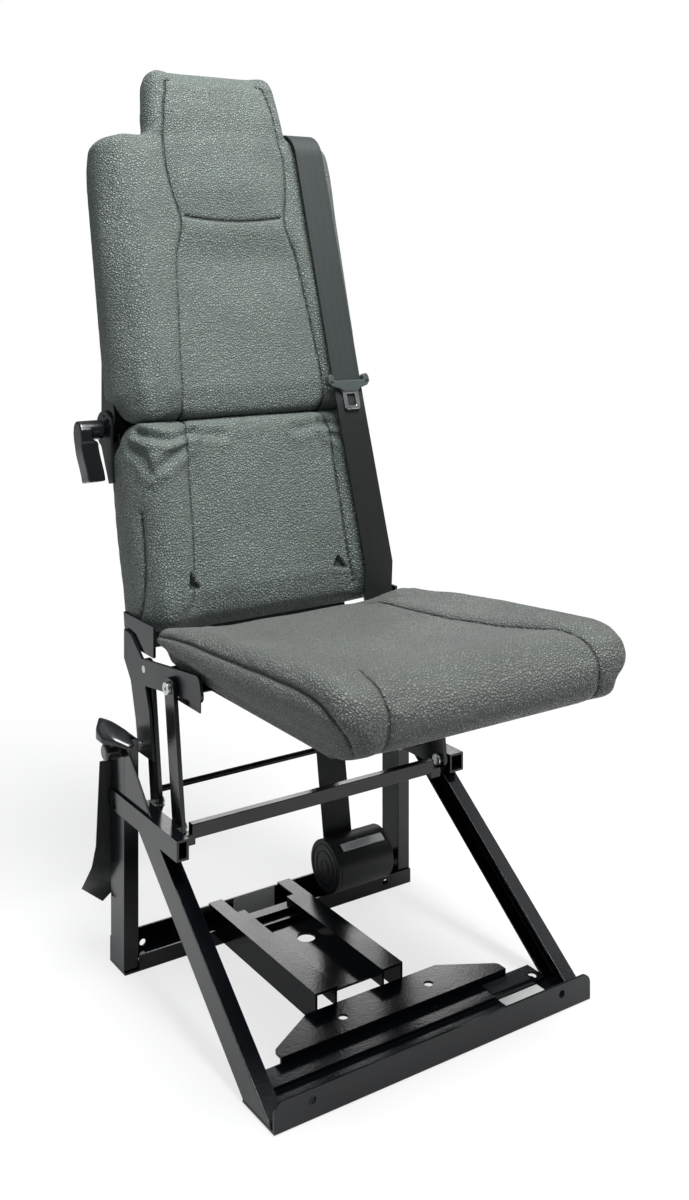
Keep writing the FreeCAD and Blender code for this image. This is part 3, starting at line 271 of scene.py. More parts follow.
def coat_group():
    """Sprayed or plated skin: orange Peel, settled Dust, faint Scuff and slow Tone."""
    if found := bpy.data.node_groups.get("Coated skin"):
        return found
    tree, start, end = group_tree("Coated skin", [("Peel scale", 330.0), ("Dust amount", 0.5)],
                                  ["Peel", "Dust", "Scuff", "Tone"])
    place = object_place(tree)
    wire(tree, noise_node(tree, place, start.outputs["Peel scale"], 2.0)["Fac"], end.inputs["Peel"])
    specks = put(tree, "ShaderNodeTexVoronoi", feature="F1")
    wire(tree, place, specks.inputs["Vector"])
    fill(specks, Scale=210.0)
    dot = spread(tree, specks.outputs["Distance"], 0.05, 0.13, 1.0, 0.0)
    patch = spread(tree, noise_node(tree, place, 24.0, 3.0)["Fac"], 0.52, 0.72)
    up = parts_of(tree, put(tree, "ShaderNodeNewGeometry").outputs["Normal"])["Z"]
    dust = times(tree, times(tree, dot, patch), spread(tree, up, 0.2, 1.0))
    wire(tree, times(tree, dust, start.outputs["Dust amount"]), end.inputs["Dust"])
    streak = fill(put(tree, "ShaderNodeMapping"), Scale=(900.0, 900.0, 60.0), Rotation=(0.35, 0.2, 0.6))
    wire(tree, place, streak.inputs["Vector"])
    lines = noise_node(tree, streak.outputs["Vector"], 1.0, 2.0)["Fac"]
    wire(tree, spread(tree, lines, 0.66, 0.74), end.inputs["Scuff"])
    wire(tree, noise_node(tree, place, 14.0, 3.0)["Fac"], end.inputs["Tone"])
    return tree


def weave_group():
    """Flat woven strap: Height and Shade from the place across the strap and along it, and its Edge. Shade is
    painted shade, darker in the grooves between the ribs, with lengthwise bands and random tone.
    """
    if found := bpy.data.node_groups.get("Woven strap"):
        return found
    tree, start, end = group_tree("Woven strap", [("Ribs", 20.0), ("Rows per metre", 620.0)],
                                  ["Height", "Shade", "Edge"])

    def wave(operation, value, half=0.5):
        return math_node(tree, "ADD", times(tree, math_node(tree, operation, value), half), 1 - half)

    across = put(tree, "ShaderNodeAttribute", attribute_name="across").outputs["Fac"]
    up = parts_of(tree, object_place(tree))["Z"]
    turn = times(tree, times(tree, across, start.outputs["Ribs"]), math.tau)
    row = times(tree, times(tree, up, start.outputs["Rows per metre"]), math.tau)
    rows = wave("SINE", math_node(tree, "ADD", row, times(tree, turn, 0.5)))
    height = math_node(tree, "ADD", times(tree, wave("COSINE", turn), 0.7), times(tree, rows, 0.3))
    wire(tree, height, end.inputs["Height"])
    edge = times(tree, math_node(tree, "ABSOLUTE", math_node(tree, "SUBTRACT", across, 0.5)), 2.0)
    wire(tree, spread(tree, edge, 0.86, 0.93), end.inputs["Edge"])
    # Painted shade: the rib relief darkens the grooves between the ribs; four lengthwise bands and a random
    # patch of tone go with it
    rib_shade_banded = times(tree, height, wave("COSINE", times(tree, across, math.tau * 4), 0.16))
    patch = spread(tree, noise_node(tree, object_place(tree), 30.0, 3.0)["Fac"], 0.3, 0.7, 0.7, 1.0)
    wire(tree, times(tree, rib_shade_banded, patch), end.inputs["Shade"])
    return tree


def start_material(name):
    made = bpy.data.materials.new(name)
    made.use_nodes = True
    tree = made.node_tree
    return made, tree, tree.nodes["Principled BSDF"]


def place_group(tree, group, **values):
    made = put(tree, "ShaderNodeGroup")
    made.node_tree = group
    return fill(made, **values).outputs


def bump(tree, shader, height, strength, distance):
    made = fill(put(tree, "ShaderNodeBump"), Strength=strength, Distance=distance)
    wire(tree, height, made.inputs["Height"])
    wire(tree, made.outputs[0], shader.inputs["Normal"])


def leatherette(name, base):
    if found := bpy.data.materials.get(name):
        return found
    made, tree, shader = start_material(name)
    grain = place_group(tree, grain_group(), Cells_per_metre=1.0 / sizes().grain_size)
    seam = put(tree, "ShaderNodeAttribute", attribute_name="seam_distance").outputs["Fac"]
    line = spread(tree, seam, 0.0006, 0.0026, 1.0, 0.0, smooth=True)
    toned = blend_colour(tree, spread(tree, grain["Tone"], 0.32, 0.68), scaled(base, 0.84), scaled(base, 1.16))
    # Painted shade: the pits between the pebbles are darkened
    pit_shaded = blend_colour(tree, times(tree, grain["Pit"], 0.82), toned, scaled(base, 0.34))
    sewn = blend_colour(tree, times(tree, line, 0.86), pit_shaded, scaled(base, 0.10))
    wire(tree, sewn, shader.inputs["Base Color"])
    wire(tree, spread(tree, grain["Height"], 0.0, 1.2, 0.62, 0.40), shader.inputs["Roughness"])
    bump(tree, shader, math_node(tree, "SUBTRACT", grain["Height"], times(tree, line, 2.0)), 1.0, 0.0013)
    fill(shader, Specular_IOR_Level=0.5, Sheen_Weight=0.06, Sheen_Roughness=0.5)
    return made


def paint(name, base, rough_low, rough_high, peel, coat=0.0):
    if found := bpy.data.materials.get(name):
        return found
    made, tree, shader = start_material(name)
    skin = place_group(tree, coat_group())
    toned = blend_colour(tree, spread(tree, skin["Tone"], 0.3, 0.7), scaled(base, 0.85), scaled(base, 1.2))
    scuffed = blend_colour(tree, times(tree, skin["Scuff"], 0.10), toned, tuple(c + 0.06 for c in base))
    wire(tree, blend_colour(tree, skin["Dust"], scuffed, (0.16, 0.16, 0.15)), shader.inputs["Base Color"])
    rough = spread(tree, skin["Tone"], 0.25, 0.75, rough_low, rough_high)
    wire(tree, math_node(tree, "ADD", rough, times(tree, skin["Dust"], 0.25)), shader.inputs["Roughness"])
    bump(tree, shader, skin["Peel"], peel, 0.0002)
    fill(shader, Coat_Weight=coat, Specular_IOR_Level=0.38, Coat_Roughness=0.12)
    return made


def black_paint():
    return paint("Black powder coat", colours().steel_paint, 0.11, 0.21, 0.55)


# Painted reflection: a lighter coat for the side plates and hinge discs, for the light their left faces reflect
def grey_paint_painted_reflection():
    return paint("Grey coat with painted reflection", colours().grey_paint_painted_reflection, 0.28, 0.38, 0.25)


def moulded():
    return paint("Moulded plastic", colours().plastic, 0.38, 0.50, 0.45)


def board():
    return paint("Back board", colours().plastic, 0.60, 0.72, 0.60)


def plated(name="Zinc plate", brighter=1.0):
    if found := bpy.data.materials.get(name):
        return found
    made, tree, shader = start_material(name)
    skin = place_group(tree, coat_group(), Peel_scale=700.0, Dust_amount=0.2)
    base = scaled(colours().zinc, brighter)
    toned = blend_colour(tree, spread(tree, skin["Tone"], 0.3, 0.7), scaled(base, 0.8), base)
    scuffed = blend_colour(tree, times(tree, skin["Scuff"], 0.5), toned, scaled(base, 0.5))
    wire(tree, scuffed, shader.inputs["Base Color"])
    wire(tree, spread(tree, skin["Tone"], 0.25, 0.75, 0.22, 0.40), shader.inputs["Roughness"])
    bump(tree, shader, skin["Peel"], 0.15, 0.0001)
    fill(shader, Metallic=1.0)
    return made


def strap_cloth():
    """Woven webbing, with painted shade that darkens it and weakens its sheen below the belt tongue."""
    if found := bpy.data.materials.get("Woven webbing"):
        return found
    made, tree, shader = start_material("Woven webbing")
    weave = place_group(tree, weave_group(), Ribs=sizes().rib_count)
    base = tuple(colours().webbing)
    # The rib Shade is painted shade in the grooves between the ribs, with random tone
    shade = blend_colour(tree, weave["Shade"], scaled(base, 0.55), scaled(base, 1.5))
    edged = blend_colour(tree, times(tree, weave["Edge"], 0.5), shade, scaled(base, 0.7))
    # Painted shade: below the belt tongue the webbing is darkened and its sheen weakened, for the shade that
    # the lower run lies in
    low = spread(tree, parts_of(tree, object_place(tree))["Z"], 0.670, 0.715, 1.0, 0.0, smooth=True)
    wire(tree, blend_colour(tree, low, edged, scaled(base, 0.14)), shader.inputs["Base Color"])
    wire(tree, math_node(tree, "SUBTRACT", 0.25, times(tree, low, 0.22)), shader.inputs["Sheen Weight"])
    wire(tree, spread(tree, weave["Height"], 0.0, 1.0, 0.72, 0.46), shader.inputs["Roughness"])
    bump(tree, shader, weave["Height"], 0.5, 0.0003)
    fill(shader, Sheen_Roughness=0.35, Specular_IOR_Level=0.45)
    return made


def printed_blank():
    if found := bpy.data.materials.get("Blank label"):
        return found
    made, tree, shader = start_material("Blank label")
    skin = place_group(tree, coat_group(), Dust_amount=0.3)
    base = tuple(colours().label)
    toned = blend_colour(tree, spread(tree, skin["Tone"], 0.3, 0.7), scaled(base, 0.88), base)
    scuffed = blend_colour(tree, times(tree, skin["Scuff"], 0.12), toned, (0.35, 0.35, 0.34))
    wire(tree, scuffed, shader.inputs["Base Color"])
    wire(tree, spread(tree, skin["Tone"], 0.3, 0.7, 0.35, 0.5), shader.inputs["Roughness"])
    return made


# Mesh helpers: weld distance, angle that still counts as flat, and how the cloth of a cover behaves
WELD = 2e-5
FLAT_ANGLE = math.radians(0.4)
COVER_CLOTH = {
    "quality": 4,
    "mass": 0.4,
    "tension_stiffness": 40,
    "compression_stiffness": 40,
    "shear_stiffness": 20,
    "bending_stiffness": 4,
    "use_pressure": True,
    "uniform_pressure_force": 4.0,
}
CLOTH_STEPS = 12


def clean_copy(node):
    """The node's mesh as one closed bmesh with its flat faces whole again."""
    bm = bmesh.new()
    bm.from_mesh(frame["nodes"][node].data)
    bmesh.ops.remove_doubles(bm, verts=bm.verts, dist=WELD)
    bmesh.ops.dissolve_limit(bm, angle_limit=FLAT_ANGLE, verts=bm.verts, edges=bm.edges)
    return bm


def shade_smooth(mesh):
    for face in mesh.polygons:
        face.use_smooth = True


def to_object(bm, name, material):
    mesh = bpy.data.meshes.new(name)
    bm.to_mesh(mesh)
    bm.free()
    if mesh.attributes.get("custom_normal"):
        mesh.attributes.remove(mesh.attributes["custom_normal"])
    mesh.materials.clear()
    mesh.materials.append(material)
    shade_smooth(mesh)
    for face in mesh.polygons:
        face.material_index = 0
    made = bpy.data.objects.new(name, mesh)
    bpy.context.scene.collection.objects.link(made)
    return made


# Radius on the edges of bolts, pins and thin plates
SMALL_ROUND = 0.0006


def round_over(piece, width, segments=2, angle=35):
    made = piece.modifiers.new("Edge round", "BEVEL")
    made.width = width
    made.segments = segments
    made.limit_method = "ANGLE"
    made.angle_limit = math.radians(angle)
    made.harden_normals = True


def body_of(node):
    return frame["nodes"][node]["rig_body"]


def settle(piece, node):
    """The piece rides with the node's body and stands for it."""
    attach(piece, body_of(node))
    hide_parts(node)


def dress(node, material, width=None):
    """A copy of a CAD piece with rounded edges and its finish."""
    piece = to_object(clean_copy(node), node + "_dressed", material)
    round_over(piece, sizes().edge_round if width is None else width)
    settle(piece, node)


def finished(piece):
    """The piece's modifiers worked into its mesh."""
    graph = bpy.context.evaluated_depsgraph_get()
    mesh = bpy.data.meshes.new_from_object(piece.evaluated_get(graph), depsgraph=graph)
    old = piece.data
    piece.modifiers.clear()
    piece.data = mesh
    bpy.data.meshes.remove(old)


def melted(node, suffix, material, cell, rounds, shape=None):
    """The CAD piece in even cells, shaped if a shape is given, with its edges smoothed away."""
    piece = to_object(clean_copy(node), node + suffix, material)
    cells = piece.modifiers.new("Cells", "REMESH")
    cells.mode = "VOXEL"
    cells.voxel_size = cell
    finished(piece)
    if shape:
        place_points(piece.data, shape(points_of(piece.data)))
    bm = bmesh.new()
    bm.from_mesh(piece.data)
    for _ in range(rounds):
        bmesh.ops.smooth_vert(bm, verts=bm.verts, factor=0.5, use_axis_x=True, use_axis_y=True, use_axis_z=True)
    bm.to_mesh(piece.data)
    bm.free()
    shade_smooth(piece.data)
    return piece


def vectors_of(items, field):
    flat = np.empty(len(items) * 3, np.float32)
    items.foreach_get(field, flat)
    return flat.reshape(-1, 3).astype(float)


def points_of(mesh):
    return vectors_of(mesh.vertices, "co")


def place_points(mesh, points):
    mesh.vertices.foreach_set("co", points.astype(np.float32).ravel())
    mesh.update()


def sink_points(mesh, depths):
    place_points(mesh, points_of(mesh) - vectors_of(mesh.vertex_normals, "vector") * depths[:, None])


def keep_value(mesh, name, values):
    """A value for every point of the mesh, which its material reads by name."""
    store = mesh.attributes.get(name) or mesh.attributes.new(name, "FLOAT", "POINT")
    store.data.foreach_set("value", np.asarray(values, np.float32))


def swollen(node, held):
    """The node's form with its edges eased and its cover blown out by cloth, held where it rests."""
    detail = sizes()
    piece = melted(node, "_cover", leatherette_of(node), detail.voxel * (1.0), 3)
    rest = points_of(piece.data)
    keep = held(rest)
    grip = piece.vertex_groups.new(name="held")
    grip.add([int(i) for i in np.nonzero(keep)[0]], 1.0, "REPLACE")
    cloth = piece.modifiers.new("Swell", "CLOTH")
    for key, value in COVER_CLOTH.items():
        setattr(cloth.settings, key, value)
    cloth.settings.vertex_group_mass = "held"
    cloth.settings.effector_weights.gravity = 0.0
    cloth.collision_settings.use_collision = False
    cloth.point_cache.frame_start = 1
    cloth.point_cache.frame_end = 20
    for step in range(1, CLOTH_STEPS + 1):
        bpy.context.scene.frame_set(step)
    finished(piece)
    bpy.context.scene.frame_set(1)
    moved = points_of(piece.data) - rest
    length = np.linalg.norm(moved, axis=1, keepdims=True)
    share = np.minimum(1.0, detail.swell / np.maximum(length, 1e-9))
    place_points(piece.data, rest + moved * share * (~keep)[:, None])
    piece.vertex_groups.clear()
    finer = piece.modifiers.new("Finer", "SUBSURF")
    finer.levels = 1
    finer.render_levels = 1
    finished(piece)
    shade_smooth(piece.data)
    return piece


def leatherette_of(node):
    # The seat's leatherette is darker, part of it painted shade for the stronger light on the seat top
    if node == "seat_cushion":
        return leatherette("Seat leatherette with painted shade", colours().seat_leatherette_painted_shade)
    return leatherette("Back leatherette", colours().leatherette)


def on_surface(mesh, lines, passes=3, pitch=0.0012):
    """Each line of points laid onto the nearest place of the mesh, in steps of the pitch."""
    tree = BVHTree.FromPolygons([v.co for v in mesh.vertices], [tuple(p.vertices) for p in mesh.polygons])
    laid = []
    for line in lines:
        run = []
        for first, second in zip(line[:-1], line[1:]):
            count = max(1, int((second - first).length / pitch))
            run += [tree.find_nearest(first.lerp(second, i / count))[0] for i in range(count)]
        run.append(tree.find_nearest(line[-1])[0])
        for _ in range(passes):
            around = [run[max(0, i - 6):i + 7] for i in range(len(run))]
            mean = [sum(near, Vector()) / len(near) for near in around]
            run = run[:1] + [tree.find_nearest(place)[0] for place in mean[1:-1]] + run[-1:]
        laid += run
    return laid


def distance_to(points, laid):
    tree = KDTree(len(laid))
    for i, place in enumerate(laid):
        tree.insert(place, i)
    tree.balance()
    return np.array([tree.find(p)[2] for p in points])


def rounded_line(points, steps=6):
    """A smooth line through the points."""
    made = []
    pad = [points[0]] + list(points) + [points[-1]]
    for a, b, c, d in zip(pad[:-3], pad[1:-2], pad[2:-1], pad[3:]):
        for i in range(steps):
            t = i / steps
            made.append(0.5 * ((2 * b) + (c - a) * t + (2 * a - 5 * b + 4 * c - d) * t * t
                               + (3 * b - a - 3 * c + d) * t * t * t))
    made.append(points[-1])
    return made


def both_sides(places, lean=True):
    """A smooth line on each side, through places in the leaned back's own frame or in the row's."""
    runs = [[(side * x, y, z) for x, y, z in places] for side in (-1, 1)]
    return [rounded_line([leaned(*place) if lean else Vector(place) for place in run]) for run in runs]


def sew(piece, lines, pull=0.0016, reach=0.011):
    """Sinks a seam along each line, pulls the cover in beside it and keeps the distance for the shading."""
    detail = sizes()
    gap = distance_to(points_of(piece.data), on_surface(piece.data, lines))
    groove = detail.seam_depth * np.exp(-(gap / detail.seam_width) ** 2)
    sink_points(piece.data, groove + pull * np.exp(-(gap / reach) ** 2))
    keep_value(piece.data, "seam_distance", gap)


def crease(piece, line, depth, width):
    """A soft fold: a valley along the line with a low roll on each side of it."""
    near = distance_to(points_of(piece.data), on_surface(piece.data, [line], 1)) / width
    valley = np.exp(-near ** 2) - 0.55 * np.exp(-(near - 1.9) ** 2)
    sink_points(piece.data, depth * valley)


def smooth_step(value, low, high):
    t = np.clip((value - low) / (high - low), 0, 1)
    return t * t * (3 - 2 * t)


def ripple(points, scale, seed):
    """Slow unevenness of a stuffed cover, from -1 to 1."""
    offset = Vector((seed * 7.3, seed * 3.1, seed * 5.7))
    return np.array([noise.noise(Vector(p) * scale + offset) for p in points])


# Seam half widths along the back's height, and along the seat's depth
UPPER_SEAM = ((0.508, 0.068), (0.500, 0.078), (0.458, 0.095), (0.411, 0.101), (0.373, 0.101), (0.323, 0.095),
              (0.284, 0.085), (0.250, 0.087), (0.189, 0.094), (0.135, 0.101), (0.088, 0.106), (0.036, 0.110),
              (0.006, 0.111))
LOWER_SEAM = ((-0.020, 0.110), (-0.076, 0.1115), (-0.149, 0.115), (-0.198, 0.117), (-0.222, 0.119),
              (-0.250, 0.122))
SEAT_SEAM = ((-0.050, 0.104), (-0.140, 0.106), (-0.235, 0.106), (-0.317, 0.114), (-0.385, 0.130),
             (-0.420, 0.140), (-0.445, 0.144), (-0.472, 0.145))

# Places where those seams run over an edge of the cushion, and the seams along its side boxing
UPPER_SEAM_FOOT = [(0.1120, -0.078, -0.001), (0.1120, -0.054, -0.006)]
LOWER_SEAM_TOP = [(0.1090, -0.056, 0.004), (0.1095, -0.080, -0.002)]
SEAT_SEAM_FRONT = [(0.146, -0.486, 0.445), (0.147, -0.486, 0.415), (0.147, -0.474, 0.393)]
LOWER_BOXING = ((0.181, -0.066, -0.120), (0.1815, -0.064, -0.185), (0.181, -0.052, -0.235),
                (0.180, -0.036, -0.256), (0.179, -0.010, -0.262))
SEAT_BOXING = ((0.197, -0.050, 0.432), (0.204, -0.110, 0.444), (0.208, -0.165, 0.450), (0.211, -0.230, 0.455),
               (0.212, -0.316, 0.459), (0.212, -0.400, 0.461), (0.210, -0.440, 0.457), (0.207, -0.462, 0.446),
               (0.204, -0.472, 0.425), (0.200, -0.472, 0.395))

# How far the covers stand out at the sides, by height along the back
UPPER_FLARE = ((0.0, 0.0), (0.022, 0.005), (0.040, 0.010), (0.100, 0.0105), (0.330, 0.0105), (0.400, 0.008),
               (0.425, 0.0))
LOWER_FLARE = ((-0.275, 0.004), (-0.235, 0.008), (-0.180, 0.009), (-0.050, 0.009), (-0.024, 0.005), (0.0, 0.0))

# Soft folds below the top edge of the lower back: places, depth and width of each
BACK_FOLDS = (
    (((0.172, -0.066, -0.016), (0.158, -0.084, -0.024), (0.142, -0.090, -0.027), (0.124, -0.090, -0.023),
      (0.104, -0.087, -0.016)), 0.0046, 0.0058),
    (((0.156, -0.086, -0.060), (0.142, -0.089, -0.050), (0.128, -0.090, -0.042), (0.112, -0.089, -0.038)),
     0.0036, 0.0070),
    (((0.178, -0.058, -0.034), (0.170, -0.072, -0.046), (0.166, -0.080, -0.066)), 0.0030, 0.0070),
    (((0.104, -0.087, -0.016), (0.084, -0.087, -0.022), (0.058, -0.088, -0.024)), 0.0024, 0.0070),
)


def width_at(table, place):
    rows = sorted(table)
    return np.interp(place, [r[0] for r in rows], [r[1] for r in rows])


def back_cover(node, seam):
    """A back cushion's cover: its points, the same in the leaned frame, the seam's half width, its inside."""
    piece = swollen(node, lambda p: upright(p)[:, 1] > -0.012)
    points = points_of(piece.data)
    local = upright(points)
    half = width_at(seam, local[:, 2])
    inside = 1 - smooth_step(np.abs(local[:, 0]), half - 0.010, half + 0.022)
    return piece, points, local, half, inside


def cut_shape(bm, frame_at, outline, low, high, window=None):
    """A flat shape grown from one depth to another, with its outline in a plane and perhaps an opening."""
    origin, across, along, out = frame_at

    def ring(points):
        made = [bm.verts.new(origin + across * u + along * w + out * low) for u, w in points]
        return made, [bm.edges.new((a, b)) for a, b in zip(made, made[1:] + made[:1])]

    verts, edges = ring(outline)
    if window:
        faces = bmesh.ops.bridge_loops(bm, edges=edges + ring(window)[1])["faces"]
    else:
        faces = [bm.faces.new(verts)]
    grown = bmesh.ops.extrude_face_region(bm, geom=faces, use_keep_orig=True)["geom"]
    top = [item for item in grown if isinstance(item, bmesh.types.BMVert)]
    bmesh.ops.translate(bm, verts=top, vec=out * (high - low))
    bmesh.ops.recalc_face_normals(bm, faces=bm.faces)


def flared(local, table):
    """Local points moved so that the cover stands out at the sides and laps over the steel behind it."""
    out = np.abs(local[:, 0])
    side = smooth_step(out, 0.150, 0.182) * smooth_step(local[:, 1], -0.085, -0.035)
    share = side * width_at(table, local[:, 2])
    lap = smooth_step(out, 0.168, 0.183) * smooth_step(local[:, 1], -0.018, -0.006)
    moved = local.copy()
    moved[:, 0] += np.sign(local[:, 0]) * share
    moved[:, 1] += 0.0075 * lap * np.clip(width_at(table, local[:, 2]) / 0.008, 0, 1)
    return moved


def slit(piece, corners, depth=0.006, edge=0.0014, behind=-0.055):
    """A dark three-cornered opening in the front of a back cover."""
    local = upright(points_of(piece.data))
    flat = local[:, (0, 2)]
    ring = np.array(corners, float)
    gap = np.full(len(flat), 1.0)
    inside = np.ones(len(flat), bool)
    area = np.cross(ring[1] - ring[0], ring[2] - ring[0])
    for first, second in zip(ring, np.roll(ring, -1, axis=0)):
        along = second - first
        t = np.clip(((flat - first) @ along) / (along @ along), 0, 1)
        gap = np.minimum(gap, np.linalg.norm(flat - first - t[:, None] * along, axis=1))
        inside &= (along[0] * (flat[:, 1] - first[1]) - along[1] * (flat[:, 0] - first[0])) * area > 0
    gap[inside] = 0.0
    gap[local[:, 1] > behind] = 1.0
    sink_points(piece.data, depth * np.exp(-(gap / edge) ** 2))
    sewn = np.empty(len(gap), np.float32)
    piece.data.attributes["seam_distance"].data.foreach_get("value", sewn)
    keep_value(piece.data, "seam_distance", np.minimum(sewn, gap))


class SEAT_OT_floor_frame(bpy.types.Operator):
    """Dress the steel members that stand on the floor"""
    bl_idname = "seat.floor_frame"
    bl_label = "Floor frame"

    def execute(self, context):
        for node in ("front_floor_member", "rear_floor_member", "centre_tray", "front_cross_plate",
                     "left_rear_post", "right_rear_post", "left_side_rail", "right_side_rail", "left_strut",
                     "right_strut", "left_gusset", "right_gusset"):
            dress(node, black_paint())
        return {"FINISHED"}


class SEAT_OT_linkage(bpy.types.Operator):
    """Dress the swinging links, their cross bar, rod and bolts"""
    bl_idname = "seat.linkage"
    bl_label = "Linkage"

    def execute(self, context):
        for node in ("left_front_link", "right_front_link", "left_rear_link", "right_rear_link", "cross_bar",
                     "link_rod"):
            dress(node, black_paint())
        for node in ("front_link_top_bolts", "rear_link_top_bolts", "front_link_pivot_bolts",
                     "rear_link_pivot_bolts"):
            dress(node, plated(), SMALL_ROUND)
        for node in ("rail_end_bolts", "hinge_pins"):
            dress(node, black_paint(), SMALL_ROUND)
        return {"FINISHED"}


class SEAT_OT_seat_shell(bpy.types.Operator):
    """Dress the pan, the side plates and the steel of the back"""
    bl_idname = "seat.seat_shell"
    bl_label = "Seat shell and back frames"

    def execute(self, context):
        for node in ("left_side_plate", "right_side_plate", "left_hinge_disc", "right_hinge_disc"):
            dress(node, grey_paint_painted_reflection())
        for node in ("seat_pan", "left_back_bracket", "right_back_bracket", "lower_back_frame",
                     "upper_back_frame", "left_hinge_arm", "right_hinge_arm", "belt_anchor"):
            dress(node, black_paint())
        for node in ("lower_back_panel", "upper_back_panel"):
            dress(node, board())
        return {"FINISHED"}


class SEAT_OT_seat_cushion(bpy.types.Operator):
    """Model the seat cushion with its dished middle, its seams and its side boxing"""
    bl_idname = "seat.seat_cushion"
    bl_label = "Seat cushion"

    def execute(self, context):
        low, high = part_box("seat_cushion")
        piece = swollen("seat_cushion", lambda p: (p[:, 2] < low.z + 0.012) | (p[:, 1] > high.y - 0.006))
        points = points_of(piece.data)
        half = width_at(SEAT_SEAM, points[:, 1])
        top = smooth_step(points[:, 2], 0.405, 0.43)
        inside = 1 - smooth_step(np.abs(points[:, 0]), half - 0.012, half + 0.020)
        fade = smooth_step(points[:, 1], -0.475, -0.38) * (1 - smooth_step(points[:, 1], -0.11, -0.045))
        points[:, 2] -= 0.0085 * inside * fade * top
        points[:, 2] += 0.0022 * ripple(points, 14.0, 1) * top
        place_points(piece.data, points)
        seam = [(width, y, 0.47) for y, width in SEAT_SEAM] + SEAT_SEAM_FRONT
        sew(piece, both_sides(seam, lean=False) + both_sides(SEAT_BOXING, lean=False))
        settle(piece, "seat_cushion")
        return {"FINISHED"}


class SEAT_OT_lower_back(bpy.types.Operator):
    """Model the lower back cushion with its centre panel, side seams, folds and slits"""
    bl_idname = "seat.lower_back"
    bl_label = "Lower back cushion"

    def execute(self, context):
        piece, points, local, _, inside = back_cover("lower_back_cushion", LOWER_SEAM)
        front = 1 - smooth_step(local[:, 1], -0.07, -0.045)
        ends = smooth_step(local[:, 2], -0.262, -0.225) * (1 - smooth_step(local[:, 2], -0.035, -0.004))
        local = flared(local, LOWER_FLARE)
        local[:, 1] += 0.009 * inside * ends * front + 0.0018 * ripple(points, 13.0, 2) * front
        local[:, 2] -= 0.010 * (1 - smooth_step(local[:, 2], -0.265, -0.190))
        local[:, 2] += 0.0012 * smooth_step(local[:, 2], -0.020, -0.004)
        place_points(piece.data, leaned_all(local))
        seam = LOWER_SEAM_TOP + [(width, -0.090, height) for height, width in LOWER_SEAM]
        sew(piece, both_sides(seam) + both_sides(LOWER_BOXING))
        slit(piece, ((-0.129, -0.2036), (-0.1157, -0.2226), (-0.1328, -0.2217)))
        slit(piece, ((0.106, -0.209), (0.117, -0.225), (0.099, -0.221)))
        for side in (0, 1):
            for places, depth, width in BACK_FOLDS:
                crease(piece, both_sides(places)[side], depth, width)
        settle(piece, "lower_back_cushion")
        return {"FINISHED"}


class SEAT_OT_upper_back(bpy.types.Operator):
    """Model the upper back cushion with its headrest, centre panel and side seams"""
    bl_idname = "seat.upper_back"
    bl_label = "Upper back cushion"

    def execute(self, context):
        piece, points, local, half, inside = back_cover("upper_back_cushion", UPPER_SEAM)
        front = 1 - smooth_step(local[:, 1], -0.052, -0.030)
        ends = (1 - smooth_step(local[:, 2], 0.215, 0.275)) * smooth_step(local[:, 2], 0.0, 0.035)
        back = 0.010 * inside * ends * front
        head = smooth_step(local[:, 2], 0.285, 0.34) * (1 - smooth_step(local[:, 2], 0.44, 0.505))
        crown = np.clip(1 - (local[:, 0] / np.maximum(half, 1e-3)) ** 2, 0, 1)
        back -= 0.006 * head * crown * front
        local = flared(local, UPPER_FLARE)
        local[:, 1] += back + 0.0018 * ripple(points, 12.0, 3) * front
        local[:, 2] -= 0.0022 * (1 - smooth_step(local[:, 2], 0.004, 0.024))
        place_points(piece.data, leaned_all(local))
        seam = [(width, -0.085, height) for height, width in UPPER_SEAM] + UPPER_SEAM_FOOT
        sag = [leaned(0.085 * t, -0.075, 0.278 + 0.007 * t * t) for t in (-1, -0.66, -0.33, 0, 0.33, 0.66, 1)]
        sew(piece, both_sides(seam) + [rounded_line(sag)])
        settle(piece, "upper_back_cushion")
        return {"FINISHED"}


# Way that the belt tongue slides, and its outlines across and along the webbing from the middle of its grip
TONGUE_SLIDE = Vector((-0.0134, 0.2731, 0.9619)).normalized()
GRIP_OUTLINE = ((-0.0255, 0.0030), (-0.0340, 0.0050), (-0.0350, 0.0005), (-0.0310, -0.0050), (-0.0190, -0.0085),
                (-0.0120, -0.0135), (0.0120, -0.0135), (0.0190, -0.0085), (0.0310, -0.0050), (0.0350, 0.0005),
                (0.0340, 0.0050), (0.0255, 0.0030))
GRIP_HORN = ((0.0250, -0.0030), (0.0250, 0.0090), (0.0285, 0.0125), (0.0330, 0.0115), (0.0350, 0.0070),
             (0.0350, -0.0010))
GRIP_REAR = ((-0.0350, -0.0020), (0.0350, -0.0020), (0.0340, 0.0080), (-0.0340, 0.0080))
TONGUE_OUTLINE = ((-0.0190, -0.0060), (0.0190, -0.0060), (0.0132, -0.0140), (0.0130, -0.0360),
                  (0.0100, -0.0390), (-0.0100, -0.0390), (-0.0130, -0.0360), (-0.0132, -0.0140))
TONGUE_WINDOW = ((-0.0070, -0.0160), (0.0070, -0.0160), (0.0072, -0.0180), (0.0072, -0.0330), (0.0062, -0.0340),
                 (-0.0062, -0.0340), (-0.0072, -0.0330), (-0.0072, -0.0180))


def strap(node):
    """A webbing piece, settled, with the place across its width kept for the weave."""
    bm = bmesh.new()
    bm.from_mesh(frame["nodes"][node].data)
    bmesh.ops.remove_doubles(bm, verts=bm.verts, dist=WELD)
    piece = to_object(bm, node + "_woven", strap_cloth())
    points = points_of(piece.data)
    rows = {}
    for i, place in enumerate(points):
        rows.setdefault((round(place[1] / 0.002), round(place[2] / 0.002)), []).append(i)
    across = np.zeros(len(points), np.float32)
    centre = np.median(points[:, 0])
    for members in rows.values():
        near = points[members, 0]
        span = near.max() - near.min()
        for i in members:
            if span > 0.01:
                across[i] = (points[i, 0] - near.min()) / span
            else:
                across[i] = 0.0 if points[i, 0] < centre else 1.0
    keep_value(piece.data, "across", across)
    round_over(piece, 0.0004, 2, 60)
    settle(piece, node)


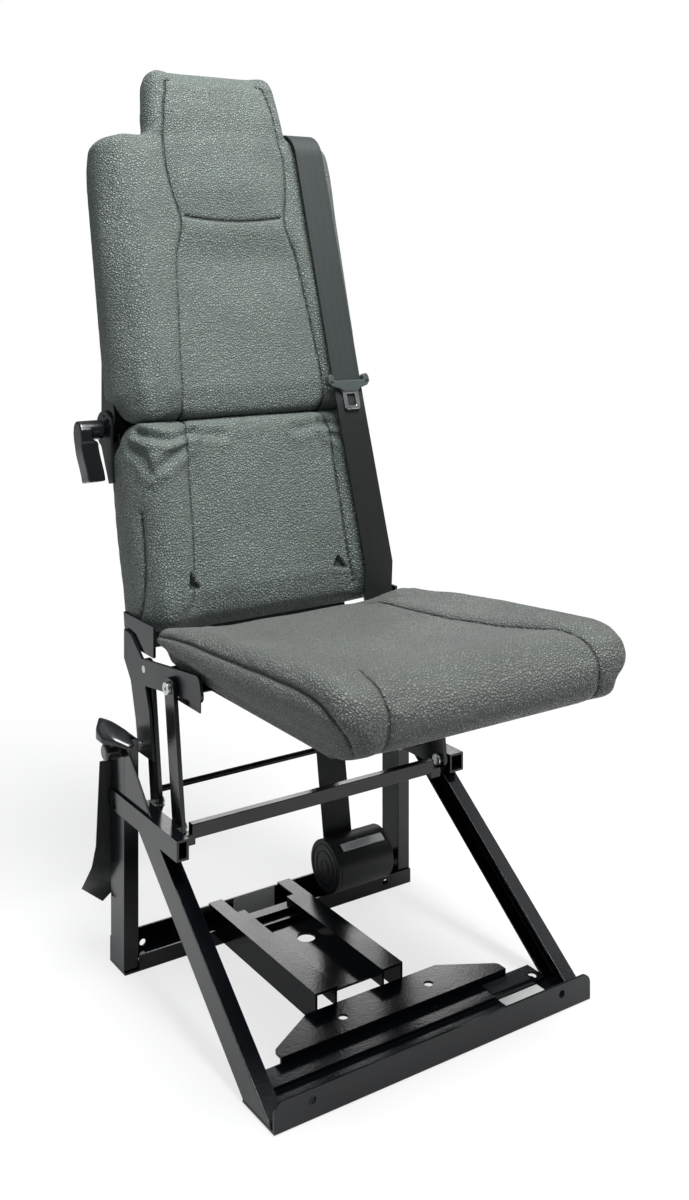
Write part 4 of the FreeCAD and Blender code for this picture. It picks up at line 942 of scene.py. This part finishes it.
def hinge_span():
    """The short length of webbing behind the hinge."""
    bm = bmesh.new()
    bmesh.ops.create_cube(bm, size=1.0)
    long_edges = [edge for edge in bm.edges if abs(edge.verts[0].co.z - edge.verts[1].co.z) > 0.5]
    bmesh.ops.subdivide_edges(bm, edges=long_edges, cuts=18, use_grid_fill=True)
    across = [vert.co.x + 0.5 for vert in bm.verts]
    for vert in bm.verts:
        x, y, z = vert.co
        vert.co = leaned(0.12605 + 0.047 * x + 0.0015 * z, 0.0060 + 0.0013 * y, 0.058 * z)
    piece = to_object(bm, "belt_webbing_hinge_span", strap_cloth())
    keep_value(piece.data, "across", across)
    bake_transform(piece)


class SEAT_OT_boards(bpy.types.Operator):
    """Model the dark boards that the two back cushions are made on, and the flap above the seat"""
    bl_idname = "seat.boards"
    bl_label = "Cushion boards"

    def execute(self, context):
        leaning = (HINGE, Vector((1, 0, 0)), (leaned(0, 0, 1) - HINGE).normalized(),
                   (leaned(0, -1, 0) - HINGE).normalized())
        for name, body, (left, right), (low, high), (near, far), edge in (
                ("upper_cushion_board", "upper_back", (-0.1862, 0.1862), (-0.0030, 0.330), (0.0102, 0.0126),
                 0.0008),
                ("lower_cushion_board", "seat_carrier", (-0.1862, 0.1862), (-0.240, -0.0008), (0.0075, 0.0096),
                 0.0008),
                ("seat_gap_flap", "seat_carrier", (-0.172, 0.136), (-0.292, -0.256), (0.0360, 0.0376),
                 SMALL_ROUND)):
            bm = bmesh.new()
            cut_shape(bm, leaning, [(left, low), (right, low), (right, high), (left, high)], near, far)
            piece = to_object(bm, name, board())
            round_over(piece, edge)
            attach(piece, body)
        return {"FINISHED"}


class SEAT_OT_belt(bpy.types.Operator):
    """Dress the belt webbing, its tongue and its grip"""
    bl_idname = "seat.belt"
    bl_label = "Belt"

    def execute(self, context):
        for node in ("belt_webbing_retractor_run", "belt_webbing_rear_run", "belt_webbing_shoulder_run",
                     "belt_webbing_front_run"):
            strap(node)
        hinge_span()
        low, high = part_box("belt_tongue_grip")
        out = Vector((1, 0, 0)).cross(TONGUE_SLIDE).normalized()
        hold = ((low + high) / 2, Vector((1, 0, 0)), TONGUE_SLIDE, out)
        bm = bmesh.new()
        cut_shape(bm, hold, GRIP_OUTLINE, 0.0014, 0.0066)
        for side in (-1, 1):
            cut_shape(bm, hold, [(side * x, w) for x, w in GRIP_HORN], -0.0052, 0.0066)
        cut_shape(bm, hold, GRIP_REAR, -0.0052, -0.0014)
        grip_coat = paint("Grip plastic", colours().grip_plastic, 0.42, 0.52, 0.4)
        piece = to_object(bm, "belt_tongue_grip_moulded", grip_coat)
        round_over(piece, 0.0014, 3, 30)
        settle(piece, "belt_tongue_grip")
        bm = bmesh.new()
        cut_shape(bm, hold, TONGUE_OUTLINE, 0.0026, 0.0046, TONGUE_WINDOW)
        piece = to_object(bm, "belt_tongue_plate_stamped", plated("Bright plate", 1.4))
        round_over(piece, SMALL_ROUND, 3)
        settle(piece, "belt_tongue_plate")
        return {"FINISHED"}


class SEAT_OT_retractor(bpy.types.Operator):
    """Dress the belt retractor"""
    bl_idname = "seat.retractor"
    bl_label = "Belt retractor"

    def execute(self, context):
        for node in ("retractor_housing", "retractor_end_cap", "retractor_spool"):
            dress(node, moulded(), 0.0012)
        dress("retractor_tie_strip", plated(), SMALL_ROUND)
        dress("retractor_foot", black_paint())
        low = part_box("retractor_end_cap")[0]
        middle = Vector((low.x, -0.028, 0.062))
        upright_turn = Matrix.Rotation(math.pi / 2, 4, "X")
        bm = bmesh.new()
        for radius, thick in ((0.0300, 0.0011), (0.0205, 0.0009), (0.0085, 0.0009)):
            top = Matrix.Translation(middle + Vector((0, 0, radius))) @ upright_turn
            made = bmesh.ops.create_circle(bm, segments=10, radius=thick, cap_ends=False, matrix=top)["verts"]
            edges = list({edge for vert in made for edge in vert.link_edges})
            bmesh.ops.spin(bm, geom=made + edges, cent=middle, axis=(1, 0, 0), dvec=(0, 0, 0),
                           angle=math.tau, steps=56, use_merge=True)
        bmesh.ops.remove_doubles(bm, verts=bm.verts, dist=1e-6)
        bmesh.ops.recalc_face_normals(bm, faces=bm.faces)
        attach(to_object(bm, "retractor_cap_rings", moulded()), body_of("retractor_end_cap"))
        return {"FINISHED"}


class SEAT_OT_handles(bpy.types.Operator):
    """Dress the latch handle, its pin and the back's release lever"""
    bl_idname = "seat.handles"
    bl_label = "Handles"

    def execute(self, context):
        def domed(points):
            drop = smooth_step(-points[:, 1], 0.010, 0.076)
            side = smooth_step(-points[:, 0], 0.246, 0.262)
            points[:, 2] -= (0.026 * drop + 0.004 * side) * smooth_step(points[:, 2], 0.298, 0.318)
            rise = smooth_step(points[:, 1], -0.030, 0.002)
            points[:, 2] += 0.004 * rise * smooth_step(points[:, 2], 0.300, 0.318)
            points[:, 0] += 0.007 * drop * side
            return points

        def broad(points):
            local = upright(points)
            below = smooth_step(-local[:, 2], 0.010, 0.018)
            wider = -0.2345 + (local[:, 0] + 0.2345) * 1.55 + 0.006 * smooth_step(-local[:, 2], 0.02, 0.07)
            local[:, 0] += below * (np.minimum(wider, -0.2025) - local[:, 0])
            around = 1 - smooth_step(-local[:, 2], 0.012, 0.020)
            local[:, 1] *= 1 + 0.10 * around
            local[:, 2] *= 1 + 0.10 * around
            return leaned_all(local)

        glossy = paint("Glossy plastic", colours().plastic, 0.20, 0.30, 0.15, 0.35)
        settle(melted("latch_handle", "_moulded", glossy, 0.0012, 14, domed), "latch_handle")
        settle(melted("back_release_lever", "_moulded", glossy, 0.0012, 5, broad), "back_release_lever")
        for node in ("latch_pin", "strap_bolt"):
            dress(node, plated(), SMALL_ROUND)
        return {"FINISHED"}


class SEAT_OT_pull_strap(bpy.types.Operator):
    """Dress the pull strap behind the left post"""
    bl_idname = "seat.pull_strap"
    bl_label = "Pull strap"

    def execute(self, context):
        strap("pull_strap")
        return {"FINISHED"}


class SEAT_OT_labels(bpy.types.Operator):
    """Finish the blank label plates and the dark plate beside them"""
    bl_idname = "seat.labels"
    bl_label = "Blank plates"

    def execute(self, context):
        dress("label_plates", printed_blank(), 0.00015)
        dress("front_dark_plate", board(), 0.0002)
        return {"FINISHED"}


def soft_lamp(name, place, target, size, power):
    data = bpy.data.lights.new(name, "AREA")
    data.shape = "RECTANGLE"
    data.size, data.size_y = size
    data.energy = power
    lamp = bpy.data.objects.new(name, data)
    lamp.location = place
    lamp.rotation_euler = (Vector(target) - Vector(place)).to_track_quat("-Z", "Y").to_euler()
    bpy.context.scene.collection.objects.link(lamp)


def mixed(tree, share, first, second, end):
    """Two shaders mixed by a share into the socket that ends the tree."""
    made = put(tree, "ShaderNodeMixShader")
    for source, socket in zip((share, first, second), made.inputs):
        wire(tree, source, socket)
    wire(tree, made.outputs[0], end.inputs["Surface"])


def pale_floor():
    """A floor that is white in the camera, fades to pale near the seat and gives back little light."""
    bm = bmesh.new()
    bmesh.ops.create_grid(bm, x_segments=1, y_segments=1, size=14.0)
    bmesh.ops.translate(bm, verts=bm.verts, vec=(0, 2.0, -0.0012))
    made, tree, shader = start_material("Pale floor")
    fill(shader, Roughness=0.9, Specular_IOR_Level=0.1)
    glow = fill(put(tree, "ShaderNodeEmission"), Color=(1, 1, 1, 1))
    seen = put(tree, "ShaderNodeLightPath").outputs
    base = blend_colour(tree, seen["Is Diffuse Ray"], (0.80, 0.80, 0.80), (0.18, 0.18, 0.18))
    wire(tree, base, shader.inputs["Base Color"])
    away = put(tree, "ShaderNodeVectorMath", operation="LENGTH")
    wire(tree, object_place(tree), away.inputs[0])
    fade = spread(tree, away.outputs["Value"], 0.5, 1.6, 0.74, 1.0, smooth=True)
    share = math_node(tree, "MAXIMUM", times(tree, seen["Is Camera Ray"], fade),
                      times(tree, seen["Is Glossy Ray"], 0.16))
    mixed(tree, share, shader.outputs[0], glow.outputs[0], tree.nodes["Material Output"])
    floor = to_object(bm, "pale_floor", made)


def studio_world(scene):
    """Soft light from the left and from above, behind a white backdrop."""
    scene.world = bpy.data.worlds.new("Studio")
    scene.world.use_nodes = True
    sky = scene.world.node_tree
    ground = fill(sky.nodes["Background"], Color=(0.88, 0.95, 1.0, 1))
    way = parts_of(sky, put(sky, "ShaderNodeTexCoord").outputs["Generated"])
    left = spread(sky, way["X"], -0.1, -0.8, 0.04, 0.34, smooth=True)
    above = spread(sky, way["Z"], 0.1, 1.0, 0.0, 0.30)
    wire(sky, math_node(sky, "ADD", left, above), ground.inputs["Strength"])
    shown = fill(put(sky, "ShaderNodeBackground"), Color=(1, 1, 1, 1), Strength=1.0)
    seen = put(sky, "ShaderNodeLightPath").outputs
    any_ray = math_node(sky, "MAXIMUM", seen["Is Camera Ray"], seen["Is Transmission Ray"])
    mixed(sky, any_ray, ground.outputs[0], shown.outputs[0], sky.nodes["World Output"])


def photo_camera(scene):
    data = bpy.data.cameras.new("photo_camera")
    data.lens = CAMERA_LENS
    data.sensor_width = 36.0
    data.sensor_fit = "AUTO"
    data.shift_y = CAMERA_SHIFT
    data.clip_start = 0.05
    camera = bpy.data.objects.new("photo_camera", data)
    camera.location = CAMERA_PLACE
    camera.rotation_euler = (math.radians(90), 0, -CAMERA_TURN)
    scene.collection.objects.link(camera)
    scene.camera = camera


class SEAT_OT_stage(bpy.types.Operator):
    """Set the pale floor, the soft light and the camera"""
    bl_idname = "seat.stage"
    bl_label = "Stage"

    def execute(self, context):
        scene = context.scene
        pale_floor()
        studio_world(scene)
        aim = (0, -0.1, 0.6)
        soft_lamp("key_lamp", (0.10, -1.0, 3.2), (0, 0, 0.75), (1.4, 1.4), 178)
        soft_lamp("front_lamp", (-1.5, -2.0, 2.0), aim, (1.2, 1.2), 2.5)
        soft_lamp("right_lamp", (2.2, -0.6, 1.6), aim, (1.2, 1.8), 7)
        soft_lamp("top_lamp", (0.2, 0.5, 2.6), aim, (1.6, 1.2), 4)
        soft_lamp("back_lamp", (1.6, 2.4, 1.5), (0, -0.1, 0.1), (1.2, 0.5), 7)
        photo_camera(scene)
        scene.view_settings.view_transform = "Standard"
        return {"FINISHED"}


class SEAT_PT_panel(bpy.types.Panel):
    bl_idname = "SEAT_PT_panel"
    bl_label = "Folding vehicle seat"
    bl_space_type = "VIEW_3D"
    bl_region_type = "UI"
    bl_category = "Seat"

    def draw(self, context):
        layout = self.layout
        for group in (context.scene.seat_sizes, context.scene.seat_colours):
            box = layout.box()
            for key in group.__annotations__:
                box.prop(group, key)
        for step in STEPS:
            layout.operator(step.bl_idname)


STEPS = (SEAT_OT_floor_frame, SEAT_OT_linkage, SEAT_OT_seat_shell, SEAT_OT_seat_cushion,
         SEAT_OT_lower_back, SEAT_OT_upper_back, SEAT_OT_boards, SEAT_OT_belt, SEAT_OT_retractor,
         SEAT_OT_handles, SEAT_OT_pull_strap, SEAT_OT_labels, SEAT_OT_stage)
KINDS = (SeatSizes, SeatColours, *STEPS, SEAT_PT_panel)


def register():
    for kind in KINDS:
        bpy.utils.register_class(kind)
    bpy.types.Scene.seat_sizes = bpy.props.PointerProperty(type=SeatSizes)
    bpy.types.Scene.seat_colours = bpy.props.PointerProperty(type=SeatColours)


def unregister():
    del bpy.types.Scene.seat_colours
    del bpy.types.Scene.seat_sizes
    for kind in reversed(KINDS):
        bpy.utils.unregister_class(kind)


def main():
    register()
    bpy.ops.seat.floor_frame()
    bpy.ops.seat.linkage()
    bpy.ops.seat.seat_shell()
    bpy.ops.seat.seat_cushion()
    bpy.ops.seat.lower_back()
    bpy.ops.seat.upper_back()
    bpy.ops.seat.boards()
    bpy.ops.seat.belt()
    bpy.ops.seat.retractor()
    bpy.ops.seat.handles()
    bpy.ops.seat.pull_strap()
    bpy.ops.seat.labels()
    bpy.ops.seat.stage()


if __name__ == "__main__":
    main()
